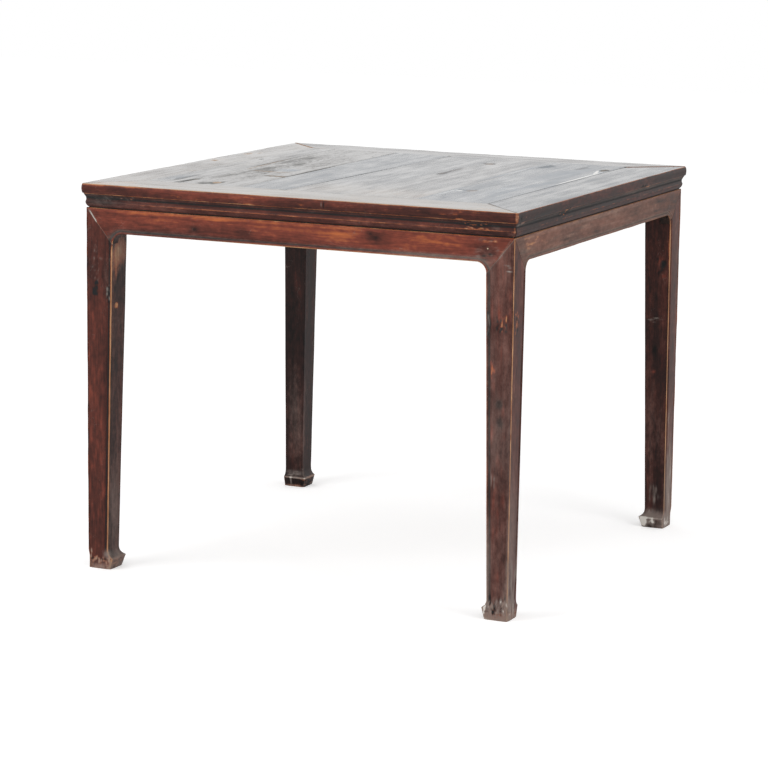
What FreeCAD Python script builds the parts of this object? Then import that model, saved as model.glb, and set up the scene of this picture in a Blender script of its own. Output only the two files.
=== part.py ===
import FreeCAD, Part
import os
import re
import Sketcher

# A square Chinese table for eight, in softwood: a mitred frame around a boarded panel, four
# aprons and four square legs with inward-turned hoof feet. All joints are wooden.
# The origin lies on the floor under the middle of the tabletop. +X runs to the right along the
# front edge, +Y to the back and +Z up. Lengths are in millimetres.

SIZES = [
    # name, value, what it measures
    ("table_width", 989, "across the tabletop, the same both ways"),
    ("table_height", 825, "floor to tabletop"),
    # tabletop frame
    ("front_rail_width", 114, "front member, outer to inner edge"),
    ("right_rail_width", 112, "right member"),
    ("back_rail_width", 88, "back member"),
    ("left_rail_width", 93, "left member"),
    ("band_height", 21, "upper band of the moulded edge"),
    ("band_crown", 1, "how far the band bows out"),
    ("arris_round", 2, "rounding of the band's two arrises"),
    ("step_height", 8, "slope from the band in to the cove"),
    ("step_inset", 7.6, "outermost plane to the top of the cove"),
    ("cove_height", 9.5, "hollow between step and lip"),
    ("cove_radius", 12, "hollow's radius"),
    ("lip_inset", 6.6, "outermost plane to the lower lip"),
    ("undercut_height", 11.5, "quarter-round under the lip"),
    ("undercut_inset", 12.7, "outermost plane to the foot of the edge"),
    ("undercut_radius", 14, "radius of that quarter-round"),
    ("foot_height", 1, "upright foot below the undercut"),
    ("corner_tenon_thickness", 11, "tenon across each corner mitre"),
    ("corner_tenon_margin", 30, "outer edge to the corner tenon"),
    ("corner_tenon_shoulder", 24, "inner edge to the corner tenon"),
    ("blind_end", 14, "wood left outside a blind tenon"),
    # panel
    ("board_thickness", 20, "panel boards"),
    ("board_lip", 6, "top of a board to its tongue"),
    ("board_tongue_thickness", 8, "tongue around each board"),
    ("frame_tongue_length", 10, "tongue into the frame"),
    ("board_tongue_length", 6, "tongue into the next board"),
    ("board_gap", 0.8, "open seam around each board"),
    ("board_1_front", 76, "first board's width at the front"),
    ("board_1_back", 57, "first board's width at the back"),
    ("board_2_front", 150, "second board, front"),
    ("board_2_back", 158, "second board, back"),
    ("board_3_front", 103, "third board, front"),
    ("board_3_back", 138, "third board, back"),
    ("board_4_front", 130, "fourth board, front"),
    ("board_4_back", 128, "fourth board, back"),
    ("board_5_front", 183, "fifth board, front"),
    ("board_5_back", 128, "fifth board, back"),
    # battens
    ("batten_width", 42, "batten under the boards"),
    ("batten_depth", 22, "below the boards"),
    ("batten_spacing", 245, "between batten centres"),
    ("key_height", 6, "dovetailed key let into the boards"),
    ("key_neck", 26, "key's width at the boards' underside"),
    ("key_flare", 4, "how far the key widens on each side"),
    ("batten_tenon_width", 30, "tenon into the left and right members"),
    ("batten_tenon_thickness", 12, "the same tenon's thickness"),
    ("batten_tenon_length", 24, "the same tenon's length"),
    # aprons
    ("apron_inset", 10, "outermost plane of the top to the apron's face"),
    ("apron_thickness", 24, "apron, face to back"),
    ("apron_height", 52, "apron between its top and its lower edge"),
    ("fillet_radius", 22, "curve between apron and leg"),
    ("apron_tongue_height", 8, "tongue along the apron's top"),
    ("apron_tongue_thickness", 8, "the same tongue's thickness"),
    ("apron_tongue_inset", 9, "apron's face to its tongue"),
    ("apron_tongue_stop", 90, "apron's end to the tongue's end"),
    # legs
    ("leg_top_width", 61, "leg's face at the mitre's foot"),
    ("leg_bottom_width", 47, "leg's face above the hoof"),
    ("hoof_height", 44, "floor to the start of the hoof's curve"),
    ("hoof_tip_height", 23.5, "floor to the hoof's tip"),
    ("hoof_reach", 12.5, "tip beyond the leg's inner face"),
    ("sole_reach", 6, "sole beyond the leg's inner face"),
    ("leg_tenon_width", 11, "long side of a leg tenon, along its rail"),
    ("leg_tenon_thickness", 9, "short side of a leg tenon"),
    ("leg_tenon_margin", 2, "post's edge to a tenon"),
    ("long_tenon_length", 22, "leg tenon into the left or right member"),
    ("short_tenon_length", 14, "leg tenon into the front or back member"),
    ("pin_root", 9, "hanging pin's width where it leaves the post"),
    ("pin_flare", 2, "how far the hanging pin widens on each side"),
    ("pin_depth", 7, "hanging pin's projection from the post"),
    # bead and groove along the inner edge
    ("bead_width", 4, "half-round bead at the edge"),
    ("bead_drop", 1.2, "how far the bead's sides fall"),
    ("groove_width", 7, "hollow beside the bead"),
    ("groove_radius", 5, "hollow's radius"),
    # peg
    ("peg_diameter", 3.6, "peg through the front apron"),
    ("peg_length", 36, "the same peg's length"),
    ("peg_margin", 3.5, "leg's inner edge to the peg"),
    ("peg_drop", 24, "apron's top to the peg"),
    # fits
    ("joint_clearance", 0.15, "play on each side of a tenon or a tongue"),
    ("end_clearance", 1, "space past a tenon's or a tongue's end"),
]

HALF = "table_width / 2"
FRAME_THICKNESS = "(band_height + step_height + cove_height + undercut_height + foot_height)"
FRAME_BOTTOM = f"(table_height - {FRAME_THICKNESS})"
APRON_BOTTOM = f"({FRAME_BOTTOM} - apron_height)"
MITRE_FOOT = f"({APRON_BOTTOM} - fillet_radius)"
APRON_HALF = "(table_width / 2 - apron_inset)"
BOARD_UNDERSIDE = "(table_height - board_thickness)"
TONGUE_TOP = "(table_height - board_lip)"
CORNER_TENON_BOTTOM = f"({FRAME_BOTTOM} + long_tenon_length + 3 * end_clearance)"
LEG_STOCK = "max(leg_top_width; leg_bottom_width + hoof_reach)"
POST_MIDDLE = "((apron_thickness + leg_top_width) / 2)"
PEG_FROM_CORNER = "(leg_top_width - peg_margin)"
PEG_LEVEL = f"({FRAME_BOTTOM} - peg_drop)"
PAST = 5  # how far a cutting outline reaches beyond the wood
MITRE_OVERRUN = 0.1  # the same for a frame mitre, as a share of its length
ARRIS_SLACKNESS = 1.1  # radius over depth of the band's arrises, where 1 is a full quarter-round

SIDES = ["front", "right", "back", "left"]  # each a quarter turn on from the last
LEGS = ["front_left", "front_right", "back_right", "back_left"]  # at each side's left end
RAIL_WIDTH = {side: f"{side}_rail_width" for side in SIDES}
TENONED_RAILS = ("left", "right")
BOARDS = 6
BATTENS = {"front": -1, "middle": 0, "back": 1}
PEGGED_SIDE = "front"
PEGGED_LEG = "front_right"  # at that side's right end
# these cut only where members of unlike width turn a mitre away from 45 degrees
END_MOULDINGS = "end_mouldings"
NEIGHBOUR_MORTISES = "neighbour_mortises"

# view name -> origin plane, and whether that plane's normal follows (+1) or opposes (-1) the axis
VIEWS = {"plan": ("XY_Plane", 1), "front": ("XZ_Plane", -1), "side": ("YZ_Plane", 1)}

doc = FreeCAD.newDocument("EightImmortalsTable")
sheet = doc.addObject("Spreadsheet::Sheet", "Sizes")
for row, (alias, value, meaning) in enumerate(SIZES, start=1):
    sheet.set(f"A{row}", meaning)
    sheet.set(f"B{row}", str(value))
    sheet.setAlias(f"B{row}", alias)
doc.recompute()


def bound(expression):
    """Point every size named in an expression at the sheet."""
    return re.sub(r"\b([a-z]+(?:_[a-z0-9]+)+)\b", r"Sizes.\1", str(expression))


def number(expression):
    """Work out an expression in the sheet's sizes."""
    return float(sheet.evalExpression(str(expression)))


def tie(sketch, kind, expression, *where):
    """Add a dimension to a sketch and bind it to the sheet."""
    index = sketch.addConstraint(Sketcher.Constraint(kind, *where, number(expression)))
    sketch.setExpression(f"Constraints[{index}]", bound(expression))


def arc_between(start, finish, radius, turn):
    """The shorter arc from start to finish, turning left (+1) or right (-1)."""
    chord = finish - start
    reach = (radius**2 - (chord.Length / 2) ** 2) ** 0.5
    left = FreeCAD.Vector(-chord.y, chord.x, 0).normalize()
    centre = (start + finish) * 0.5 + left * (turn * reach)
    first, last = (start, finish) if turn > 0 else (finish, start)
    angles = [FreeCAD.Vector(1, 0, 0).getAngle(point - centre) for point in (first, last)]
    angles = [-a if p.y < centre.y else a for a, p in zip(angles, (first, last))]
    circle = Part.Circle(centre, FreeCAD.Vector(0, 0, 1), radius)
    return Part.ArcOfCircle(circle, *angles)


def draw(sketch, corners, closed=True):
    """Draw an outline and tie each of its corners to the sheet.

    A corner is (across, up), or (across, up, radius, turn) where an arc leads on from it.
    """
    points = [FreeCAD.Vector(number(corner[0]), number(corner[1]), 0) for corner in corners]
    count = len(corners) if closed else len(corners) - 1
    ends = []
    for index in range(count):
        start, finish = points[index], points[(index + 1) % len(points)]
        if len(corners[index]) == 2:
            ends.append((sketch.addGeometry(Part.LineSegment(start, finish)), 1, 2))
            continue
        radius, turn = corners[index][2:]
        edge = sketch.addGeometry(arc_between(start, finish, number(radius), turn))
        ends.append((edge, 1, 2) if turn > 0 else (edge, 2, 1))
    for index in range(count if closed else count - 1):
        edge, _, finish = ends[index]
        following, start, _ = ends[(index + 1) % count]
        sketch.addConstraint(Sketcher.Constraint("Coincident", edge, finish, following, start))
    for index, corner in enumerate(corners):
        edge, at = (ends[index][0], ends[index][1]) if index < count else (ends[-1][0], ends[-1][2])
        tie(sketch, "DistanceX", corner[0], -1, 1, edge, at)
        tie(sketch, "DistanceY", corner[1], -1, 1, edge, at)
        if len(corner) > 2:
            tie(sketch, "Radius", corner[2], edge)


def draw_circle(sketch, across, up, diameter):
    """Draw a circle and tie its centre and its diameter to the sheet."""
    middle = FreeCAD.Vector(number(across), number(up), 0)
    edge = sketch.addGeometry(Part.Circle(middle, FreeCAD.Vector(0, 0, 1), number(diameter) / 2))
    tie(sketch, "DistanceX", across, -1, 1, edge, 3)
    tie(sketch, "DistanceY", up, -1, 1, edge, 3)
    tie(sketch, "Diameter", diameter, edge)


def new_sketch(body, name, view, level):
    """A sketch on one of the body's own origin planes, lifted to a level along its axis."""
    role, sign = VIEWS[view]
    sketch = body.newObject("Sketcher::SketchObject", name)
    plane = next(item for item in body.Origin.OriginFeatures if item.Role == role)
    sketch.AttachmentSupport = [(plane, "")]
    sketch.MapMode = "FlatFace"
    sketch.setExpression("AttachmentOffset.Base.z", bound(f"{sign} * ({level})"))
    return sketch


def extrude(body, name, kind, view, start, finish, *outlines):
    """Pad or Pocket the outlines from one level to a higher one along the view's axis.

    An outline is a list of corners, or a circle's (across, up, diameter).
    """
    sign = VIEWS[view][1]
    sketch = new_sketch(body, f"{name}_sketch", view, start)
    for outline in outlines:
        if isinstance(outline, tuple):
            draw_circle(sketch, *outline)
        else:
            draw(sketch, outline)
    feature = body.newObject(f"PartDesign::{kind}", name)
    feature.Profile = sketch
    feature.Reversed = (sign < 0) == (kind == "Pad")
    feature.setExpression("Length", bound(f"({finish}) - ({start})"))
    return feature


def run_moulding(body, name, view, path, section, section_view, section_level):
    """Cut a moulding's section along a path."""
    spine = new_sketch(body, f"{name}_path", view, 0)
    draw(spine, path, closed=False)
    profile = new_sketch(body, f"{name}_section", section_view, section_level)
    draw(profile, section)
    cut = body.newObject("PartDesign::SubtractivePipe", name)
    cut.Profile = profile
    cut.Spine = (spine, [f"Edge{index + 1}" for index in range(len(path) - 1)])
    return cut


def rectangle(left, right, low, high):
    """Corners of a rectangle from its four limits."""
    return [(left, low), (right, low), (right, high), (left, high)]


def new_body(label, turn=0, across="0", deep="0", up="0"):
    """A named piece, turned about +Z and moved to its place in the table."""
    body = doc.addObject("PartDesign::Body", label)
    body.Label = label
    body.Placement = FreeCAD.Placement(
        FreeCAD.Vector(), FreeCAD.Rotation(FreeCAD.Vector(0, 0, 1), turn)
    )
    for axis, expression in zip("xyz", (across, deep, up)):
        body.setExpression(f"Placement.Base.{axis}", bound(expression))
    return body


def side_body(label, side, reach):
    """A piece of one side: local x runs along that side from its middle, local y inward."""
    turn = SIDES.index(side)
    across = ["0", reach, "0", f"-({reach})"][turn]
    deep = [f"-({reach})", "0", reach, "0"][turn]
    return new_body(label, 90 * turn, across, deep)


def reflect(corners, change):
    """An outline seen in a mirror, its arcs still leading on from the right corners."""
    backwards = corners[::-1]
    following = backwards[1:] + backwards[:1]
    return [(*change(*corner[:2]), *after[2:]) for corner, after in zip(backwards, following)]


def swap(outline):
    """An outline seen in the mirror across x = y."""
    return reflect(outline, lambda across, up: (up, across))


def both_ends(outline):
    """An outline and its mirror image in x = 0."""
    return outline, reflect(outline, lambda across, up: (f"-({across})", up))


def bead_section(edge):
    """Section that cuts the bead and the groove: depth goes up, and the wood lies below the edge."""
    bead_radius = "((bead_width / 2)^2 + bead_drop^2) / (2 * bead_drop)"
    bead_end = f"{edge} - bead_width"
    groove_end = f"{edge} - bead_width - groove_width"
    return [
        (f"{edge} + bead_drop", "-bead_drop"),
        (f"{edge} + bead_drop", "bead_drop"),
        (edge, "bead_drop", bead_radius, -1),
        (bead_end, "bead_drop", "groove_radius", 1),
        (groove_end, "0"),
        (groove_end, "-bead_drop"),
    ]


# --- tabletop frame ---------------------------------------------------------------------------


def moulded_edge(outside):
    """The frame's moulding from the top down, measured inward from the outermost plane."""
    band_top = "table_height - arris_round"
    band_foot = "table_height - band_height + arris_round"
    arris_radius = f"{ARRIS_SLACKNESS} * arris_round"
    crown_radius = "((band_height / 2 - arris_round)^2 + band_crown^2) / (2 * band_crown)"
    step_foot = "table_height - band_height - step_height"
    lip = f"{step_foot} - cove_height"
    undercut_foot = f"{lip} - undercut_height"
    return [
        (f"{outside} + band_crown + arris_round", "table_height", arris_radius, 1),
        (f"{outside} + band_crown", band_top, crown_radius, 1),
        (f"{outside} + band_crown", band_foot, arris_radius, 1),
        (f"{outside} + band_crown + arris_round", "table_height - band_height"),
        (f"{outside} + step_inset", step_foot, "cove_radius", -1),
        (f"{outside} + lip_inset", lip, "undercut_radius", 1),
        (f"{outside} + undercut_inset", undercut_foot),
        (f"{outside} + undercut_inset", FRAME_BOTTOM),
    ]


def rail_section(width):
    """Cross-section of a frame member: moulded outer edge at y = 0, grooved inner edge."""
    groove_top = f"{TONGUE_TOP} + joint_clearance"
    groove_foot = f"{TONGUE_TOP} - board_tongue_thickness - joint_clearance"
    groove_floor = f"{width} - frame_tongue_length - end_clearance"
    return [
        *moulded_edge("0"),
        (width, FRAME_BOTTOM),
        (width, groove_foot),
        (groove_floor, groove_foot),
        (groove_floor, groove_top),
        (width, groove_top),
        (width, "table_height"),
    ]


def mitre_waste(width, neighbour, end):
    """Plan outline of what a corner mitre takes off a member's left (-1) or right (+1) end."""
    outer = f"({end} * (table_width / 2 + {MITRE_OVERRUN} * {neighbour}))"
    inner = f"({end} * (table_width / 2 - {1 + MITRE_OVERRUN} * {neighbour}))"
    near, far = f"-{MITRE_OVERRUN} * {width}", f"{1 + MITRE_OVERRUN} * {width}"
    return [(outer, near), (inner, far), (outer, far)]


def end_moulding_waste():
    """What the next side's moulding takes off a member's left end, seen from the front."""
    edge = moulded_edge(f"-{HALF}")
    outside, above, below = f"-{HALF} - {PAST}", f"table_height + {PAST}", f"{FRAME_BOTTOM} - {PAST}"
    return [(outside, above), (edge[0][0], above), *edge, (edge[-1][0], below), (outside, below)]


def leg_tenon_length(in_tenoned_rail):
    """A leg's long tenon stands in the left or right member, clear of the corner tenon above it."""
    return "long_tenon_length" if in_tenoned_rail else "short_tenon_length"


def leg_mortise(end, own):
    """Plan outline of a leg tenon's mortise at a member's left (-1) or right (+1) end.

    Each leg has one tenon for this member and one for its neighbour across the mitre.
    """
    post = "(apron_inset + apron_thickness + leg_tenon_margin)"
    inner_face = "(apron_inset + leg_top_width - leg_tenon_margin)"
    along = (f"{inner_face} - leg_tenon_width", inner_face)
    across = (post, f"{post} + leg_tenon_thickness")
    if not own:
        along, across = across, along
    near, far = f"{HALF} - ({along[0]} - joint_clearance)", f"{HALF} - ({along[1]} + joint_clearance)"
    limits = (far, near) if end > 0 else (f"-({near})", f"-({far})")
    return rectangle(*limits, f"{across[0]} - joint_clearance", f"{across[1]} + joint_clearance")


def build_rail(side):
    """One mitred member of the tabletop frame."""
    here = SIDES.index(side)
    width = RAIL_WIDTH[side]
    left, right = (RAIL_WIDTH[SIDES[(here + step) % 4]] for step in (-1, 1))
    tenoned = side in TENONED_RAILS
    rail = side_body(f"top_frame_{side}", side, HALF)
    extrude(rail, "member", "Pad", "side", f"-{HALF}", HALF, rail_section(width))
    mitres = [mitre_waste(width, left, -1), mitre_waste(width, right, 1)]
    extrude(rail, "mitres", "Pocket", "plan", 0, f"table_height + {PAST}", *mitres)
    waste = both_ends(end_moulding_waste())
    extrude(rail, END_MOULDINGS, "Pocket", "front", f"-{PAST}", f"{width} + {PAST}", *waste)

    tenon_top = f"{CORNER_TENON_BOTTOM} + corner_tenon_thickness"
    if tenoned:
        margins = ("corner_tenon_margin", f"{width} - corner_tenon_shoulder")
        reach = f"{HALF} - blind_end"
        tenons = [
            rectangle(f"-({reach})", f"-({HALF} - {left})", *margins),
            rectangle(f"{HALF} - {right}", reach, *margins),
        ]
        extrude(rail, "corner_tenons", "Pad", "plan", CORNER_TENON_BOTTOM, tenon_top, *tenons)
        mortises = [batten_tenon_outline(place, "joint_clearance") for place in BATTENS.values()]
        floor = f"{width} - batten_tenon_length - end_clearance"
        extrude(rail, "batten_mortises", "Pocket", "front", floor, f"{width} + {PAST}", *mortises)
    else:
        mortises = []
        for end, neighbour in ((-1, left), (1, right)):
            outer = f"{end} * ({HALF} - corner_tenon_margin + joint_clearance)"
            inner = f"{end} * ({HALF} - {neighbour} + corner_tenon_shoulder - joint_clearance)"
            limits = (outer, inner) if end < 0 else (inner, outer)
            mortises.append(rectangle(*limits, "blind_end - end_clearance", f"{width} + {PAST}"))
        extrude(
            rail, "corner_mortises", "Pocket", "plan",
            f"{CORNER_TENON_BOTTOM} - joint_clearance", f"{tenon_top} + joint_clearance", *mortises,
        )

    below = f"{FRAME_BOTTOM} - end_clearance"
    for own, name in ((True, "leg_mortises"), (False, NEIGHBOUR_MORTISES)):
        ceiling = f"{FRAME_BOTTOM} + {leg_tenon_length(tenoned == own)} + end_clearance"
        outlines = [leg_mortise(end, own) for end in (-1, 1)]
        extrude(rail, name, "Pocket", "plan", below, ceiling, *outlines)
    groove_half = f"({APRON_HALF} - apron_tongue_stop + end_clearance)"
    groove = rectangle(
        f"-{groove_half}", groove_half,
        "apron_inset + apron_tongue_inset - joint_clearance",
        "apron_inset + apron_tongue_inset + apron_tongue_thickness + joint_clearance",
    )
    groove_top = f"{FRAME_BOTTOM} + apron_tongue_height + end_clearance"
    extrude(rail, "apron_groove", "Pocket", "plan", below, groove_top, groove)
    return rail


# --- panel ------------------------------------------------------------------------------------


def boards_before(index, end):
    """Width of all the boards to the left of one board, at the panel's front or back."""
    return " + ".join(f"board_{other}_{end}" for other in range(1, index)) or "0"


def board_width(index, end):
    """Width of a board at the panel's front or back. The last board fills what the others leave."""
    if index < BOARDS:
        return f"board_{index}_{end}"
    return f"table_width - left_rail_width - right_rail_width - ({boards_before(index, end)})"


def seam_strip(index, left, right, reach):
    """Plan outline between two lines beside a board's left seam, in the board's own frame.

    Each line is given by its distances from the seam at the panel opening's front and back edges,
    and goes straight on past those edges by a reach.
    """
    lean = f"({boards_before(index, 'back')} - ({boards_before(index, 'front')}))"
    overrun = f"({reach}) / (table_width - front_rail_width - back_rail_width)"
    front = f"-({HALF} - front_rail_width) - ({reach})"
    back = f"{HALF} - back_rail_width + ({reach})"
    ends = []
    for at_front, at_back in (left, right):
        slant = f"({lean} + {at_back} - ({at_front})) * {overrun}"
        ends.append([(f"{at_front} - {slant}", front), (f"{lean} + {at_back} + {slant}", back)])
    return [ends[0][0], ends[1][0], ends[1][1], ends[0][1]]


def board_outline(index, left, right, reach):
    """Plan outline of a board that stands out past its left and right seams and its two ends."""
    widths = [f"{board_width(index, end)} + ({right})" for end in ("front", "back")]
    return seam_strip(index, (f"-({left})", f"-({left})"), widths, reach)


def build_board(index):
    """One panel board with its tongues, its groove and the slots for the battens.

    Local x = 0 is the board's left seam at the front member, and local y is the table's y.
    """
    first, last = index == 1, index == BOARDS
    left_seam = f"left_rail_width + {boards_before(index, 'front')} - {HALF}"
    board = new_body(f"top_board_{index}", 0, left_seam)
    open_seam = "-board_gap / 2"
    core = board_outline(index, open_seam, open_seam, "-board_gap")
    extrude(board, "core", "Pad", "plan", BOARD_UNDERSIDE, "table_height", core)

    left_reach = "frame_tongue_length" if first else open_seam
    right_reach = "frame_tongue_length" if last else "board_tongue_length"
    tongue_foot = f"{TONGUE_TOP} - board_tongue_thickness"
    tongues = board_outline(index, left_reach, right_reach, "frame_tongue_length")
    extrude(board, "tongues", "Pad", "plan", tongue_foot, TONGUE_TOP, tongues)
    if not first:
        floor = "board_tongue_length + end_clearance"
        edge = f"-{PAST}"
        strip = seam_strip(index, (edge, edge), (floor, floor), f"frame_tongue_length + {PAST}")
        groove_foot = f"{tongue_foot} - joint_clearance"
        extrude(
            board, "groove", "Pocket", "plan", groove_foot, f"{TONGUE_TOP} + joint_clearance", strip,
        )
    slots = [key_outline(place, "joint_clearance") for place in BATTENS.values()]
    extrude(board, "key_slots", "Pocket", "side", f"-{HALF}", HALF, *slots)
    return board


# --- battens ----------------------------------------------------------------------------------


def key_outline(place, grow):
    """Side view of a batten's dovetailed key, wider at its top than at the boards' underside."""
    centre = f"{place} * batten_spacing"
    neck = f"(key_neck / 2 + {grow})"
    crest = f"(key_neck / 2 + key_flare + {grow})"
    top = f"{BOARD_UNDERSIDE} + key_height + {grow}"
    return [
        (f"{centre} - {neck}", BOARD_UNDERSIDE),
        (f"{centre} + {neck}", BOARD_UNDERSIDE),
        (f"{centre} + {crest}", top),
        (f"{centre} - {crest}", top),
    ]


def batten_tenon_outline(place, grow):
    """Section of a batten's tenon, midway up the batten, seen from the side."""
    centre = f"{place} * batten_spacing"
    middle = f"({BOARD_UNDERSIDE} - batten_depth / 2)"
    half_width, half_thickness = "batten_tenon_width / 2", "batten_tenon_thickness / 2"
    return rectangle(
        f"{centre} - {half_width} - {grow}", f"{centre} + {half_width} + {grow}",
        f"{middle} - {half_thickness} - {grow}", f"{middle} + {half_thickness} + {grow}",
    )


def build_batten(name, place):
    """One batten across the boards, tenoned into the left and right members."""
    batten = new_body(f"batten_{name}")
    left, right = f"-({HALF} - left_rail_width)", f"{HALF} - right_rail_width"
    centre = f"{place} * batten_spacing"
    beam = rectangle(
        f"{centre} - batten_width / 2", f"{centre} + batten_width / 2",
        f"{BOARD_UNDERSIDE} - batten_depth", BOARD_UNDERSIDE,
    )
    extrude(batten, "beam", "Pad", "side", left, right, beam)
    extrude(batten, "key", "Pad", "side", left, right, key_outline(place, "0"))
    tenon = batten_tenon_outline(place, "0")
    left_end, right_end = f"{left} - batten_tenon_length", f"{right} + batten_tenon_length"
    extrude(batten, "tenons", "Pad", "side", left_end, right_end, tenon)
    return batten


# --- aprons -----------------------------------------------------------------------------------


def pin_outline(centre, grow):
    """Plan outline of a hanging pin: a dovetail that widens away from the post's face."""
    root = f"(pin_root / 2 + {grow})"
    crest = f"(pin_root / 2 + pin_flare + {grow})"
    tip = f"apron_thickness - pin_depth - {grow}"
    face = f"apron_thickness + {grow}"
    return [
        (f"{centre} - {crest}", tip),
        (f"{centre} + {crest}", tip),
        (f"{centre} + {root}", face),
        (f"{centre} - {root}", face),
    ]


def corner_waste():
    """Plan outline of what the mitre with the next apron takes off an apron's left end."""
    outside, past_back = f"-{APRON_HALF} - {PAST}", f"apron_thickness + {PAST}"
    return [(outside, f"-{PAST}"), (f"-{APRON_HALF} + {past_back}", past_back), (outside, past_back)]


def build_apron(side):
    """One apron: mitred to the legs at both ends, tongued into the frame above it."""
    apron = side_body(f"apron_{side}", side, APRON_HALF)
    inner = f"({APRON_HALF} - leg_top_width)"
    curve_end = f"({inner} - fillet_radius)"
    lower_edge = [
        (f"-{inner}", MITRE_FOOT, "fillet_radius", -1),
        (f"-{curve_end}", APRON_BOTTOM),
        (curve_end, APRON_BOTTOM, "fillet_radius", -1),
        (inner, MITRE_FOOT),
    ]
    face = [(f"-{APRON_HALF}", FRAME_BOTTOM), *lower_edge, (APRON_HALF, FRAME_BOTTOM)]
    extrude(apron, "board", "Pad", "front", 0, "apron_thickness", face)
    waste = both_ends(corner_waste())
    extrude(apron, "corner_mitres", "Pocket", "plan", 0, "table_height", *waste)
    slots = both_ends(pin_outline(f"-({APRON_HALF} - {POST_MIDDLE})", "joint_clearance"))
    extrude(apron, "pin_slots", "Pocket", "plan", 0, "table_height", *slots)
    tongue_half = f"({APRON_HALF} - apron_tongue_stop)"
    tongue = rectangle(
        f"-{tongue_half}", tongue_half,
        "apron_tongue_inset", "apron_tongue_inset + apron_tongue_thickness",
    )
    tongue_top = f"{FRAME_BOTTOM} + apron_tongue_height"
    extrude(apron, "tongue", "Pad", "plan", FRAME_BOTTOM, tongue_top, tongue)
    section = bead_section(f"-{inner}")
    run_moulding(apron, "bead", "front", lower_edge, section, "plan", MITRE_FOOT)
    if side == PEGGED_SIDE:
        hole = (f"{APRON_HALF} - {PEG_FROM_CORNER}", PEG_LEVEL, "peg_diameter")
        extrude(apron, "peg_hole", "Pocket", "front", f"-{PAST}", f"apron_thickness + {PAST}", hole)
    return apron


# --- legs -------------------------------------------------------------------------------------


def leg_inner_edge():
    """The leg's inner edge from the sole up: hoof, taper and the face beside the mitre."""
    hoof_radius = "(hoof_reach^2 + (hoof_height - hoof_tip_height)^2) / (2 * hoof_reach)"
    return [
        ("leg_bottom_width + sole_reach", "0"),
        ("leg_bottom_width + hoof_reach", "hoof_tip_height", hoof_radius, -1),
        ("leg_bottom_width", "hoof_height"),
        ("leg_top_width", MITRE_FOOT),
        ("leg_top_width", FRAME_BOTTOM),
    ]


def build_leg(corner):
    """One leg. Its own x runs along the side that starts at it, its y along the other side."""
    turn = LEGS.index(corner)
    reach = APRON_HALF
    across = [f"-{reach}", reach, reach, f"-{reach}"][turn]
    deep = [f"-{reach}", f"-{reach}", reach, reach][turn]
    leg = new_body(f"leg_{corner}", 90 * turn, across, deep)

    edge = leg_inner_edge()
    extrude(leg, "first_face", "Pad", "front", 0, LEG_STOCK, [("0", "0"), *edge, ("0", FRAME_BOTTOM)])
    outside = f"{LEG_STOCK} + {PAST}"
    waste = [*edge, (outside, FRAME_BOTTOM), (outside, "0")]
    extrude(leg, "second_face", "Pocket", "side", f"-{PAST}", outside, waste)

    past_top = f"{FRAME_BOTTOM} + {PAST}"
    shoulder = [
        ("0", FRAME_BOTTOM),
        ("leg_top_width", MITRE_FOOT),
        (f"leg_top_width + {PAST}", MITRE_FOOT),
        (f"leg_top_width + {PAST}", past_top),
        ("0", past_top),
    ]
    for view in ("front", "side"):
        extrude(leg, f"{view}_shoulder", "Pocket", view, f"-{PAST}", "apron_thickness", shoulder)
    pin = pin_outline(POST_MIDDLE, "0")
    extrude(leg, "hanging_pins", "Pad", "plan", MITRE_FOOT, FRAME_BOTTOM, pin, swap(pin))

    post = "apron_thickness + leg_tenon_margin"
    far = "leg_top_width - leg_tenon_margin"
    along = rectangle(f"{far} - leg_tenon_width", far, post, f"{post} + leg_tenon_thickness")
    along_is_tenoned = SIDES[turn] in TENONED_RAILS
    for outline, is_tenoned in ((along, along_is_tenoned), (swap(along), not along_is_tenoned)):
        length = leg_tenon_length(is_tenoned)
        root, tip = f"{FRAME_BOTTOM} - end_clearance", f"{FRAME_BOTTOM} + {length}"
        extrude(leg, length.removesuffix("_length"), "Pad", "plan", root, tip, outline)

    # the bead follows the taper and the first eighth of a turn of the curve into the apron
    eighth_across, eighth_up = "fillet_radius * (1 - sqrt(1 / 2))", "fillet_radius * sqrt(1 / 2)"
    path = [
        ("leg_bottom_width", "hoof_height"),
        ("leg_top_width", MITRE_FOOT, "fillet_radius", -1),
        (f"leg_top_width + {eighth_across}", f"{MITRE_FOOT} + {eighth_up}"),
    ]
    section = bead_section("leg_bottom_width")
    run_moulding(leg, "front_bead", "front", path, section, "plan", "hoof_height")
    run_moulding(leg, "side_bead", "side", path, swap(section), "plan", "hoof_height")
    if corner == PEGGED_LEG:
        # this leg's own x runs into the table from the face that carries the pegged apron
        hole = (PEG_FROM_CORNER, PEG_LEVEL, "peg_diameter")
        extrude(leg, "peg_hole", "Pocket", "side", 0, "peg_length", hole)
    return leg


def build_peg():
    """The peg through the pegged apron's right end into the leg's post."""
    peg = side_body("apron_pin", PEGGED_SIDE, APRON_HALF)
    shank = (f"{APRON_HALF} - {PEG_FROM_CORNER}", PEG_LEVEL, "peg_diameter - 2 * joint_clearance")
    extrude(peg, "shank", "Pad", "front", 0, "peg_length", shank)
    return peg


# --- the table --------------------------------------------------------------------------------

pieces = [build_rail(side) for side in SIDES]
pieces += [build_board(index) for index in range(1, BOARDS + 1)]
pieces += [build_batten(name, place) for name, place in BATTENS.items()]
pieces += [build_apron(side) for side in SIDES]
pieces += [build_leg(corner) for corner in LEGS]
pieces.append(build_peg())
doc.recompute()

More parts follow.
